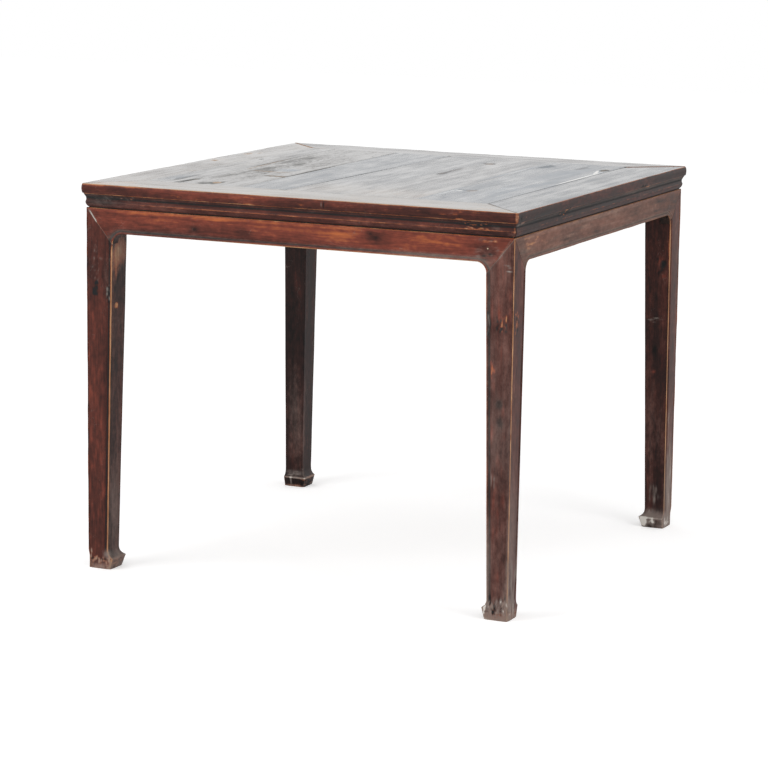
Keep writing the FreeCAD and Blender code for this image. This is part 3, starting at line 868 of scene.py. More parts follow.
def hand_over(piece: bpy.types.Object, node: str) -> None:
    """Let a piece stand for its solid: attach it to the root body and hide the solid.

    Args:
        piece: The finished piece.
        node: The solid's node.
    """
    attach(piece, "root")
    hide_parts(node)
    LOG.info("%s: %d faces for node %s", piece.name, len(piece.data.polygons), node)


# --- the table's own sizes ---


@dataclass(frozen=True)
class TableSizes:
    """Sizes that several sub-assemblies share, in millimetres.

    Attributes:
        half: Half of the tabletop's width.
        height: Floor to tabletop.
        rails: Width of the frame's front, right, back and left member.
        frame_bottom: Floor to the underside of the tabletop frame.
        apron_inset: Edge of the top to the faces of aprons and legs.
        apron_thickness: Apron, face to back.
        apron_bottom: Floor to the aprons' lower edge.
        fillet: Radius of the curve between apron and leg.
        leg_width: Leg's face at the foot of its mitre.
        bead_width: Half-round bead along the inner edges.
        bead_drop: How far the bead's sides fall.
        groove_width: Hollow beside the bead.
        groove_radius: The hollow's radius.
    """

    half: float
    height: float
    rails: tuple[float, float, float, float] = (114, 112, 88, 93)
    frame_bottom: float = 774
    apron_inset: float = 10
    apron_thickness: float = 24
    apron_bottom: float = 722
    fillet: float = 22
    leg_width: float = 61
    bead_width: float = 4
    bead_drop: float = 1.2
    groove_width: float = 7
    groove_radius: float = 5

    @property
    def mitre_foot(self) -> float:
        """Floor to the lower end of the mitre between apron and leg."""
        return self.apron_bottom - self.fillet

    @property
    def apron_half(self) -> float:
        """Half of an apron's length."""
        return self.half - self.apron_inset

    def edge_steps(self) -> Array:
        """Distances from an inner edge at which the bead and groove are drawn."""
        groove = self.bead_width + np.linspace(0, self.groove_width, 10)[1:]
        return np.concatenate((np.linspace(0, self.bead_width, 9), groove))

    def bead_depth(self, away: Array) -> Array:
        """How deep the face lies at a distance from the inner edge.

        Args:
            away: Distances from the edge, square to it.

        Returns:
            Depths below the flat face: the bead, then the groove, then nothing.
        """
        half, drop = self.bead_width / 2, self.bead_drop
        bead_radius = (half**2 + drop**2) / (2 * drop)
        over_bead = np.clip(away - half, -half, half)
        bead = bead_radius - np.sqrt(bead_radius**2 - over_bead**2)
        # the groove starts as deep as the bead's foot and runs out to the flat face
        run = np.clip((away - self.bead_width) / self.groove_width, 0, 1)
        chord = drop * (1 - run)
        half_chord = math.hypot(self.groove_width, drop) / 2
        sag = self.groove_radius - math.sqrt(self.groove_radius**2 - half_chord**2)
        groove = chord + 4 * sag * run * (1 - run)
        return np.where(away <= self.bead_width, bead, groove)


# --- sub-assemblies ---


@dataclass
class TopFrame:
    """The four mitred members around the panel, with their moulded outer edge.

    Attributes:
        sizes: The table's shared sizes.
        band: Height of the upper band.
        crown: How far the band bows out.
        arris: Rounding of the band's arrises.
        step: Height and inset of the slope down to the cove.
        cove: The cove's height, radius and the inset of the lip below it.
        undercut: The undercut's height, radius and the inset of its foot.
        joint: Half of the gap in each mitre.
        corners: Worn radius of each corner, by the leg below it.
        mitres: Dirt and wear in each mitre, and how wide they reach.
        sunk: How far each member has sunk at its start and its end.
        edge_wear: How bare each member's upper arris is.
        count: Rings along a member.
    """

    sizes: TableSizes
    band: float = 21
    crown: float = 1
    arris: float = 2
    step: Pair = (8, 7.6)
    cove: tuple[float, float, float] = (9.5, 12, 6.6)
    undercut: tuple[float, float, float] = (11.5, 14, 12.7)
    joint: float = 0.2
    corners: tuple[float, float, float, float] = (7, 5, 5, 5)
    mitres: tuple[tuple[float, float, float], ...] = (
        (0.1, 0, 1.8),
        (1.0, 0.42, 3.2),
        (1.1, 0.5, 6),
        (0.6, 0.75, 6),
    )
    sunk: tuple[Pair, ...] = ((0, 0), (0, 1.0), (0, 0), (0.8, 0))
    edge_wear: tuple[float, float, float, float] = (0.95, 0.62, 0.25, 0.25)
    count: int = 380

    NEAR_MITRE = (0.0006, 0.0015, 0.0028, 0.0043, 0.006)  # shares of the length with extra rings
    ROUNDED_IN = 8  # millimetres inward over which a rounded corner fades
    SUNK_ALONG = 50  # millimetres along over which sinking fades

    def knocked(self, away: Array, slope: float, radius: float) -> Array:
        """How far a rounded corner stands back from a sharp one.

        Args:
            away: Distance along the member from the mitre.
            slope: The mitre's run along the member for each unit inward.
            radius: The corner's radius.

        Returns:
            Distances inward.
        """
        short = np.clip(away, 0, radius) - radius
        half_sum = radius - slope * short
        inner = np.maximum(half_sum**2 - (slope**2 + 1) * short**2, 0)
        return (half_sum - np.sqrt(inner)) / (slope**2 + 1)

    def outline(self, width: float) -> Outline:
        """Section of a member, from the inner edge of its top.

        Args:
            width: The member's width.

        Returns:
            The closed section.
        """
        top = self.sizes.height
        section = Outline([(width, top)])
        section.keep("inner_arris")
        section.line_to(self.crown + self.arris, top, 26)
        section.keep("upper_arris")
        radius = 1.1 * self.arris
        crown_radius = ((self.band / 2 - self.arris) ** 2 + self.crown**2) / (2 * self.crown)
        section.arc_to(self.crown, top - self.arris, radius, 1, 4)
        section.arc_to(self.crown, top - self.band + self.arris, crown_radius, 1, 10)
        section.arc_to(self.crown + self.arris, top - self.band, radius, 1, 4)
        section.keep("lower_arris")
        section.line_to(self.crown + self.arris + 1, top - self.band - 1.5, 1)
        section.keep("lower_shadow")
        step_foot = top - self.band - self.step[0]
        section.line_to(self.step[1], step_foot, 6)
        section.keep("cove_top")
        lip = step_foot - self.cove[0]
        section.arc_to(self.cove[2], lip, self.cove[1], -1, 8)
        section.keep("lip")
        foot = lip - self.undercut[0]
        section.arc_to(self.undercut[2], foot, self.undercut[1], 1, 9)
        section.line_to(self.undercut[2], self.sizes.frame_bottom, 1)
        section.keep("foot")
        section.line_to(width, self.sizes.frame_bottom, 12)
        section.keep("inner_foot")
        section.line_to(width, top, 9)
        section.points.pop()
        return section

    def front_marks(self) -> list[Mark]:
        """Chips, rubbed places and dirt of the front member."""
        top, inner = self.sizes.height, self.sizes.rails[Side.FRONT.value]
        return [
            Mark((404, 6, 793), (30, 9, 7), tone=-0.14, grimed=0.26),
            *scatter((400, 6, 797), (30, 3, 2), 12, (3, 5, 1), 1, worn=0.5),
            *scatter((404, 6, 789), (24, 2, 2), 12, (4, 5, 0.9), 2, worn=0.5, dusty=0.2),
            Mark((404, 6, 788), (14, 7, 4), dent=0.7),
            Mark((446, 7, 791), (14, 8, 4), dusty=0.3),
            *scatter((-404, 8, 797), (40, 3, 6), 14, (4, 6, 1.1), 3, worn=0.25, dusty=0.24),
            Mark((-450, 7, 790), (50, 9, 14), grimed=0.2, dusty=0.1, tone=-0.16),
            Mark((-440, 8, 787), (40, 9, 5), worn=-1.0, grimed=0.2, tone=-0.1),
            Mark((-300, 0, 812), (150, 5, 9), tone=0.1),
            Mark((-240, 0, 819), (110, 5, 3), tone=0.14),
            Mark((-90, 0, 817), (60, 5, 5), tone=0.12),
            Mark((120, 0, 816), (90, 5, 4), tone=0.08),
            *scatter((0, 1, 812), (420, 2, 8), 26, (9, 4, 1.4), 4, worn=0.35),
            Mark((67, 1, 815), (1.2, 3, 5), dusty=0.8, dent=0.4),
            Mark((72, 1, 815), (1.6, 3, 6), tone=-0.4, dent=0.5),
            Mark((491, 1, 815), (3, 6, 12), worn=0.6, dusty=0.5, grimed=-0.2),
            Mark((485, 8, 789), (3, 6, 7), worn=0.36, dusty=0.25),
            Mark((481, 12, 777), (3, 5, 4), worn=0.36, dusty=0.25),
            Mark((-460, 40, top), (60, 50, 6), tone=0.2, grimed=0.16, worn=0.34),
            *scatter((-420, 40, top), (70, 40, 0), 16, (14, 5, 5), 14, grimed=0.3, worn=0.3, tone=0.2),
            *scatter((360, 30, top), (110, 20, 0), 12, (16, 3, 5), 19, worn=0.4, tone=0.2),
            *scatter((0, 60, top), (440, 50, 0), 40, (26, 5, 5), 15, grimed=0.14, tone=0.1),
            Mark((40, 14, top), (330, 12, 6), tone=0.2),
            Mark((-76, inner, top), (9, 4, 4), tone=-0.4, grimed=0.9),
            Mark((44, inner, top), (14, 4, 4), tone=-0.3, grimed=0.8),
            Mark((330, inner, top), (70, 2, 4), grimed=0.6),
        ]

    def right_marks(self) -> list[Mark]:
        """Two knots on the band, chips by the corner and streaks of the right member."""
        top = self.sizes.height
        return [
            *scatter((-232, 4, 801), (26, 3, 6), 22, (5, 6, 2.4), 5, grimed=0.62, tone=-0.25),
            *scatter((-236, 5, 797), (28, 3, 8), 10, (4, 6, 1.2), 6, worn=0.34),
            Mark((-232, 5, 797), (20, 8, 5), dent=0.6, tone=-0.1),
            *scatter((228, 4, 804), (26, 3, 5), 16, (6, 6, 2.4), 8, grimed=0.62, tone=-0.25),
            *scatter((234, 4, 804), (22, 3, 5), 6, (4, 6, 1.2), 9, worn=0.34),
            Mark((203, 5, 799), (12, 8, 4), tone=-0.3, dent=0.5),
            Mark((-478, 2, 813), (5, 8, 5), tone=-0.3, grimed=0.5, dent=0.3),
            *scatter((-466, 3, 806), (16, 3, 10), 8, (4, 6, 2), 10, worn=0.3, dusty=0.3),
            Mark((330, 4, 805), (200, 9, 22), dusty=0.1),
            *scatter((0, 60, top), (440, 50, 0), 30, (46, 6, 5), 16, grimed=0.14, tone=-0.1),
            Mark((-492, 1, 815), (2.5, 6, 12), worn=0.4, dusty=0.4),
            *scatter((-214, 3, 803), (16, 3, 4), 7, (4, 6, 1.5), 72, worn=0.38, tone=0.1),
            *scatter((236, 3, 806), (14, 3, 4), 6, (4, 6, 1.5), 73, worn=0.3, tone=0.1),
        ]

    def back_marks(self) -> list[Mark]:
        """Rubbed places and streaks of the back member."""
        top, inner = self.sizes.height, self.sizes.rails[Side.BACK.value]
        return [
            Mark((380, inner, top), (34, 7, 4), worn=0.6, grimed=0.5, tone=0.2),
            *scatter((0, 40, top), (440, 36, 0), 40, (36, 6, 5), 18, grimed=0.14),
            Mark((-440, 40, top), (60, 60, 6), tone=0.1),
        ]

    def left_marks(self) -> list[Mark]:
        """Rubbed places and streaks of the left member."""
        top = self.sizes.height
        return [
            *scatter((-56, 30, top), (26, 16, 0), 9, (14, 6, 5), 11, tone=0.2, grimed=0.3, worn=0.4),
            *scatter((-218, 30, top), (20, 14, 0), 7, (12, 5, 5), 12, tone=0.2, grimed=0.3, worn=0.36),
            *scatter((146, 70, top), (30, 20, 0), 5, (9, 4, 5), 13, tone=0.2, grimed=0.4),
            *scatter((0, 50, top), (440, 40, 0), 40, (40, 6, 5), 17, grimed=0.13),
            Mark((400, 50, top), (120, 60, 6), tone=0.1, grimed=0.1),
            Mark((-440, 70, top), (60, 30, 5), tone=0.16),
        ]

    def marks(self, side: Side) -> list[Mark]:
        """Marks of one member, along it, inward and up."""
        return (self.front_marks, self.right_marks, self.back_marks, self.left_marks)[side.value]()

    def looks(self, side: Side) -> dict[str, Look]:
        """How each part of a member's section has aged.

        Args:
            side: Its side.

        Returns:
            The look of each part, by the arris that it runs on from.
        """
        front = side is Side.FRONT
        tops = (Look(0.62, 0.0), Look(0.4, 0.5, 0.05), Look(0.42, 0.3, 0.04), Look(0.56, 0.25))
        return {
            "inner_arris": tops[side.value],
            "upper_arris": Look(0.44, 0.04) if front else Look(0.28, 0.08, 0.08),
            "lower_arris": Look(0.4, 0.14) if front else Look(0.36, 0.3, 0.14),
            "cove_top": Look(0.46, 0.08) if front else Look(0.28, 0.1, 0.05),
            "lip": Look(0.44, 0.14) if front else Look(0.32, 0.08, 0.08),
            "foot": Look(0.3, 0.2, 0.2),
        }

    def build(self, side: Side, palette: Palette) -> None:
        """Make and dress one member.

        Args:
            side: Its side.
            palette: Gives the materials.
        """
        section = self.outline(self.sizes.rails[side.value])
        points, away = self.rings(side, section)
        skin = Skin(points, 11 + side.value)
        for name, look in self.looks(side).items():
            skin.dress(slice(section.arrises[name], None), look)
        self.wear(skin, side, section, away)
        skin.mark(*self.marks(side))
        piece = skin.build(f"frame_member_{side.word}", side.value, (0, -self.sizes.half))
        rings, ring = points.shape[:2]
        on_top = np.tile(np.arange(ring) < section.arrises["upper_arris"], rings - 1)
        palette.paint(piece, [Finish.LACQUER, Finish.TOP], on_top)
        hand_over(piece, f"top_frame_{side.word}")

    def rings(self, side: Side, section: Outline) -> tuple[Array, tuple[Array, Array]]:
        """Loft the section from mitre to mitre, with the corners rounded.

        Args:
            side: Its side.
            section: The member's section.

        Returns:
            The rings, and the distance of each point from either mitre.
        """
        sizes = self.sizes
        width = sizes.rails[side.value]
        slopes = tuple(sizes.rails[side.turned(turn).value] / width for turn in (-1, 1))
        inward, up = np.array(section.points).T
        near = np.array(self.NEAR_MITRE)
        share = np.unique(np.concatenate((np.linspace(0, 1, self.count), near, 1 - near)))[:, None]
        length = 2 * sizes.half - inward * sum(slopes)
        away = (share * length, (1 - share) * length)
        # only the outer side is rounded, and the top and underside follow it
        order = np.arange(len(inward))
        level = np.where(order < section.arrises["upper_arris"], inward - self.crown - self.arris, 0)
        level = np.where(order > section.arrises["foot"], inward - self.undercut[2], level)
        fade = np.exp(-level / self.ROUNDED_IN)
        for end in (0, 1):
            radius = self.corners[side.turned(end).value]
            inward = inward + self.knocked(away[end], slopes[end], radius) * fade
        starts = -sizes.half + inward * slopes[0] + self.joint
        ends = sizes.half - inward * slopes[1] - self.joint
        along = starts + (ends - starts) * share
        return np.stack(np.broadcast_arrays(along, inward, up), axis=2), away

    def wear(self, skin: Skin, side: Side, section: Outline, away: tuple[Array, Array]) -> None:
        """Sink a member at its mitres, rub its arrises, dirty its mitres and paint shade into the step, cove
        and notch under its band.

        Args:
            skin: The member.
            side: Its side.
            section: Its section.
            away: Distance of each point from either mitre.
        """
        up = np.array(section.points)[:, 1]
        is_top = np.arange(len(up)) <= section.arrises["upper_arris"]
        unlevel = drift(skin.points[..., 0] / 120, skin.points[..., 1] / 60, 31 + side.value)
        unlevel = unlevel * (1 - section.closeness("inner_arris", 14))
        drops = enumerate(self.sunk[side.value])
        sunk = sum(drop * np.exp(-away[end] / self.SUNK_ALONG) for end, drop in drops)
        above = up > self.sizes.height - self.band / 2
        skin.press(np.where(is_top, 0.25 + 0.25 * unlevel, 0) + sunk * above, DOWN)
        front = side is Side.FRONT
        for step, (name, reach, strength, depth) in enumerate(
            (
                ("upper_arris", 2.6, self.edge_wear[side.value], 0.9),
                ("lower_arris", 1.3, 0.66 if front else 0.42, 0.5),
                ("lip", 1.3, 0.5 if front else 0.25, 0.4),
            )
        ):
            skin.wear(section.closeness(name, reach), strength, depth, 50 + 7 * side.value + step)
        # painted shade: the step under the band, the top of the cove and the notch at the frame's foot are
        # darkened through the dirt value
        painted_step_shade = 0.8 * section.closeness("cove_top", 3.6) + 0.55 * section.closeness("lower_shadow", 2.6)
        skin.grimed += painted_step_shade + 0.85 * section.closeness("foot", 4.5)
        for end in (0, 1):
            dirt, bared, reach = self.mitres[side.turned(end).value]
            mitre = np.where(is_top, np.exp(-away[end] / reach), 0.4 * np.exp(-away[end] / 1.8))
            skin.grimed += dirt * mitre * is_top
            skin.worn = np.maximum(skin.worn, bared * mitre)


@dataclass
class BoardedPanel:
    """The six boards that float in the frame, each between two slanting seams.

    Attributes:
        sizes: The table's shared sizes.
        thickness: Board, top to underside.
        front: Width of each board but the last at the front.
        back: The same at the back.
        gaps: Open seam on the right of the left member and of each board.
        openings: Where seams have opened further: number, place, reach and width.
        lip: Depth of the open seam.
        rim: Rounding of a board's upper edges.
        end_gap: Gap between a board's ends and the frame.
        count: Rings along a board.
        looks: Look of each board's upper face.
    """

    sizes: TableSizes
    thickness: float = 20
    front: tuple[float, ...] = (76, 150, 103, 130, 183)
    back: tuple[float, ...] = (57, 158, 138, 128, 128)
    gaps: tuple[float, ...] = (0.06, 0.4, 0.5, 0.9, 0.06, 0.15, 5.4)
    openings: tuple[tuple[int, float, float, float], ...] = (
        (0, 300, 70, 0.3),
        (1, -340, 34, 2.2),
        (1, 90, 150, 1.0),
        (2, -50, 110, 2.2),
        (3, -60, 160, 1.8),
        (3, 380, 50, 0.8),
        (5, 260, 90, 0.4),
        (6, 60, 160, 2.4),
    )
    lip: float = 6
    rim: float = 0.15
    end_gap: float = 0.06
    count: int = 240
    looks: tuple[Look, ...] = (
        Look(0.42, 0.3, 0.16),
        Look(0.34, 0.16, 0.32),
        Look(0.42, 0.6, 0.04),
        Look(0.58, 0.56),
        Look(0.66, 0.56),
        Look(0.54, 0.66),
    )

    def seams(self) -> list[Pair]:
        """Where the seams lie, from the left frame member on.

        Returns:
            The place of each at the panel's front and back.
        """
        sizes = self.sizes
        start, finish = -sizes.half + sizes.rails[3], sizes.half - sizes.rails[1]
        places = [(start, start)]
        for front, back in zip(self.front, self.back):
            places.append((places[-1][0] + front, places[-1][1] + back))
        return [*places, (finish, finish)]

    def half_gap(self, seam: int, y: Array) -> Array:
        """Half of a seam's opening.

        Args:
            seam: Its number, from 0 at the left frame member.
            y: Places along it.

        Returns:
            Half of its width at each place.
        """
        wide = self.gaps[seam] + 0 * y
        for number, at, reach, width in self.openings:
            if number == seam:
                wide = wide + width * np.exp(-(((y - at) / reach) ** 2))
        return wide / 2

    def marks(self, index: int) -> list[Mark]:
        """Knots, smudges and dents of one board in the table's frame."""
        top = self.sizes.height
        return {
            1: [
                Mark((-388, 122, top), (4, 9, 5), tone=-0.3, grimed=0.9),
                Mark((-372, -290, top), (20, 60, 9), dusty=0.4, grimed=0.24),
                *scatter((-372, 0, top), (24, 380, 0), 20, (5, 50, 9), 20, grimed=0.2),
                *stroke((-336, -372, top), (-327, -300, top), (3, 12, 9), grimed=0.9),
                Mark((-370, 0, top), (30, 130, 9), tone=0.12),
            ],
            2: [
                Mark((-257, -334, top), (7, 8, 9), tone=-0.4, grimed=0.9, swirl=0.6, dent=0.3),
                *scatter((-258, -336, top), (9, 16, 0), 8, (4, 10, 9), 21, grimed=0.5, tone=-0.1),
                *scatter((-256, -330, top), (8, 12, 0), 6, (4, 8, 9), 22, worn=0.7, tone=0.2),
                *scatter((-276, -362, top), (10, 10, 0), 5, (7, 10, 9), 23, grimed=0.2),
                *stroke((-329, -372, top), (-320, -300, top), (3, 12, 9), grimed=0.9, worn=0.3, tone=-0.1),
                *stroke((-321, -60, top), (-346, 240, top), (3, 30, 9), grimed=0.2, worn=0.5, tone=0.1),
                *stroke((-306, -240, top), (-288, -60, top), (16, 60, 9), grimed=0.13, tone=-0.05),
                *stroke((-286, -45, top), (-266, 150, top), (15, 60, 9), grimed=0.1),
                Mark((-312, 150, top), (26, 170, 9), grimed=0.06),
                *scatter((-290, 40, top), (40, 260, 0), 24, (8, 36, 9), 77, grimed=0.09, tone=-0.06),
                Mark((-215, 90, top), (20, 90, 9), grimed=0.1),
                *stroke((-290, -92, top), (-212, -98, top), (16, 9, 9), grimed=0.12, worn=0.4, tone=0.2),
                *stroke((-222, -166, top), (-178, -170, top), (12, 9, 9), grimed=0.5, worn=0.4, tone=0.2),
                Mark((-232, -50, top), (24, 26, 9), dusty=0.8, grimed=-0.3),
            ],
            3: [
                *scatter((-120, 60, top), (44, 300, 0), 16, (8, 70, 9), 25, grimed=0.14),
                Mark((-110, 180, top), (26, 160, 9), grimed=0.1),
                Mark((-140, -300, top), (40, 90, 9), tone=0.14),
            ],
            4: [
                Mark((-52, 395, top), (6, 24, 6), worn=0.9, tone=0.3),
                *scatter((0, 60, top), (50, 320, 0), 10, (10, 80, 9), 26, grimed=0.08),
                Mark((0, -310, top), (110, 90, 9), tone=0.14, dusty=-0.2),
            ],
            5: [
                Mark((81, 64, top), (8, 14, 9), grimed=1.3, worn=0.3, tone=-0.2),
                *stroke((82, 70, top), (76, 180, top), (8, 24, 9), grimed=0.7, worn=0.4),
                *scatter((86, 300, top), (18, 8, 0), 8, (8, 9, 9), 27, grimed=0.6, worn=0.3),
                *knot((69, -272, top), 4, 1.2, along=1),
                *scatter((140, 60, top), (80, 320, 0), 12, (9, 80, 9), 28, grimed=0.08),
                # painted highlight along the board's right edge beside the seam, towards the front
                Mark((230, -250, top), (6, 110, 9), dusty=0.9),
                Mark((207, 190, top), (5, 130, 9), dusty=0.9),
                Mark((140, -320, top), (110, 80, 9), tone=0.14, dusty=-0.2),
            ],
            6: [
                Mark((243, -206, top), (7, 7, 9), swirl=0.8, dusty=1.7),
                *stroke((236, -190, top), (268, -188, top), (6, 5, 9), grimed=1.0, tone=-0.2, worn=0.2),
                *scatter((266, -194, top), (5, 6, 0), 4, (5, 8, 9), 29, worn=0.9, tone=0.2),
                *scatter((262, -260, top), (24, 90, 0), 8, (9, 34, 9), 30, grimed=0.22),
                *scatter((266, -50, top), (26, 150, 0), 10, (9, 40, 9), 31, grimed=0.2),
                *stroke((216, 210, top), (222, 330, top), (12, 40, 9), grimed=0.22),
                *scatter((270, 330, top), (60, 50, 0), 16, (12, 22, 9), 32, grimed=0.2, worn=0.1),
                *scatter((262, 240, top), (40, 90, 0), 8, (10, 40, 9), 33, grimed=0.16),
                *scatter((330, -60, top), (36, 300, 0), 12, (9, 80, 9), 34, grimed=0.1, dusty=0.14),
                # painted highlights: the pale rim of the chip at the seam's end and the pale line along the
                # board's right edge beside the open seam
                *stroke((372, 236, top), (354, 304, top), (2.6, 11, 9), dusty=1.6, dent=0.3),
                Mark((365, 310, top), (10, 20, 9), grimed=1.5, worn=0.25, dent=1.4, tone=-0.3, dusty=-1.0),
                Mark((375, 130, top), (2.6, 120, 9), dusty=2.4),
            ],
        }[index]

    def cracks(self, index: int) -> list[Split]:
        """Cracks of one board: along and across in the table's frame."""
        return {
            2: [Split((-60, -322), (60, -316), 0.5)],
            5: [Split((44, 82), (120, 80), 2.4), Split((-150, 150), (120, 158), 0.8)],
            6: [Split((-60, 330), (180, 336), 0.8)],
        }.get(index, [])

    def build(self, index: int, palette: Palette) -> None:
        """Make and dress one board.

        Args:
            index: Which board, from 1 at the left.
            palette: Gives the materials.
        """
        sizes = self.sizes
        near = -sizes.half + sizes.rails[Side.FRONT.value] + self.end_gap
        far = sizes.half - sizes.rails[Side.BACK.value] - self.end_gap
        y = np.linspace(near, far, self.count)[:, None]
        share = (y - near) / (far - near)
        (left_front, left_back), (right_front, right_back) = self.seams()[index - 1 : index + 1]
        left = left_front + (left_back - left_front) * share
        right = right_front + (right_back - right_front) * share
        wide = right_front - left_front
        place, level, on_top = self.ring(wide)
        opens = level >= sizes.height - self.lip
        gaps = self.half_gap(index - 1, y), self.half_gap(index, y)
        x = left + (right - left) * place
        x = x + (1 - place) * opens * gaps[0] - place * opens * gaps[1]
        skin = Skin(np.stack(np.broadcast_arrays(x, y, level), axis=2), 70 + index, order=(1, 0, 2))

        is_top = np.arange(len(place)) < on_top
        is_rim = level == sizes.height - self.rim
        is_seam = is_rim | (level == sizes.height - self.lip)
        from_side = np.minimum(place, 1 - place) * wide
        from_end = np.minimum(y - near, far - y)
        settled = (1 - np.exp(-from_end / 12)) * (1 - np.exp(-from_side / 12))
        uneven = 0.25 + 0.25 * drift(y / 150, (x - left) / 45, 90 + index) * settled
        edge = np.exp(-from_side / 1.6)
        opened = np.where(place < 0.5, *gaps)
        pressed = uneven + 0.6 * edge * np.clip(opened, 0, 0.9)
        skin.press(np.where(is_top | is_rim, pressed, 0), DOWN)
        skin.dress(slice(None), Look(0.35, 0.1, 0.3))
        skin.dress(is_seam, Look(0.0, 0.0, 1.2))
        skin.dress(is_top, self.looks[index - 1])
        skin.grimed += np.where(is_top, 0.5 * edge * np.clip(opened, 0, 1), 0)
        skin.mark(*self.marks(index))
        skin.dusty[:, is_seam] = 0  # a seam is dark inside, whatever lies beside it
        for channel, crack in enumerate(self.cracks(index)):
            skin.split(channel, crack, skin.points[..., 1], skin.points[..., 0])
        piece = skin.build(f"panel_board_{index}", 0, (0, 0))
        bare = np.tile(np.arange(len(place)) > on_top + 1, self.count - 1)
        palette.paint(piece, [Finish.TOP, Finish.BARE], bare)
        hand_over(piece, f"top_board_{index}")

    def ring(self, wide: float) -> tuple[Array, Array, int]:
        """Ring around a board: over the top to the right, down, back under and up.

        Args:
            wide: The board's width at the panel's front.

        Returns:
            Each point's share across the board, its height, and how many lie on top.
        """
        top, under = self.sizes.height, self.sizes.height - self.thickness
        across = np.concatenate(([0], spaced(0, 1, max(16, int(wide / 3)))))
        below, rim, lip = 1 - spaced(0, 1, 8), top - self.rim, top - self.lip
        foot = lip - 0.2
        place = np.concatenate((across, [1, 1, 1, 1], below, [0, 0, 0]))
        level = (0 * across + top, [rim, lip, foot, under], 0 * below + under, [foot, lip, rim])
        return place, np.concatenate(level), len(across)


@dataclass
class ApronRings:
    """The rings of an apron, and where the points of their faces lie.

    Attributes:
        points: The rings.
        away: Distance of each point of the face from the lower edge.
        from_top: Its distance from the upper edge.
        from_mitre: Distance of each ring from its mitre, along the lower edge.
    """

    points: Array
    away: Array
    from_top: Array
    from_mitre: Array

    def on_face(self, values: Array) -> Array:
        """Spread values of the face over the whole rings, with nothing behind it."""
        behind = self.points.shape[1] - self.away.shape[1]
        return np.pad(values, ((0, 0), (0, behind)))


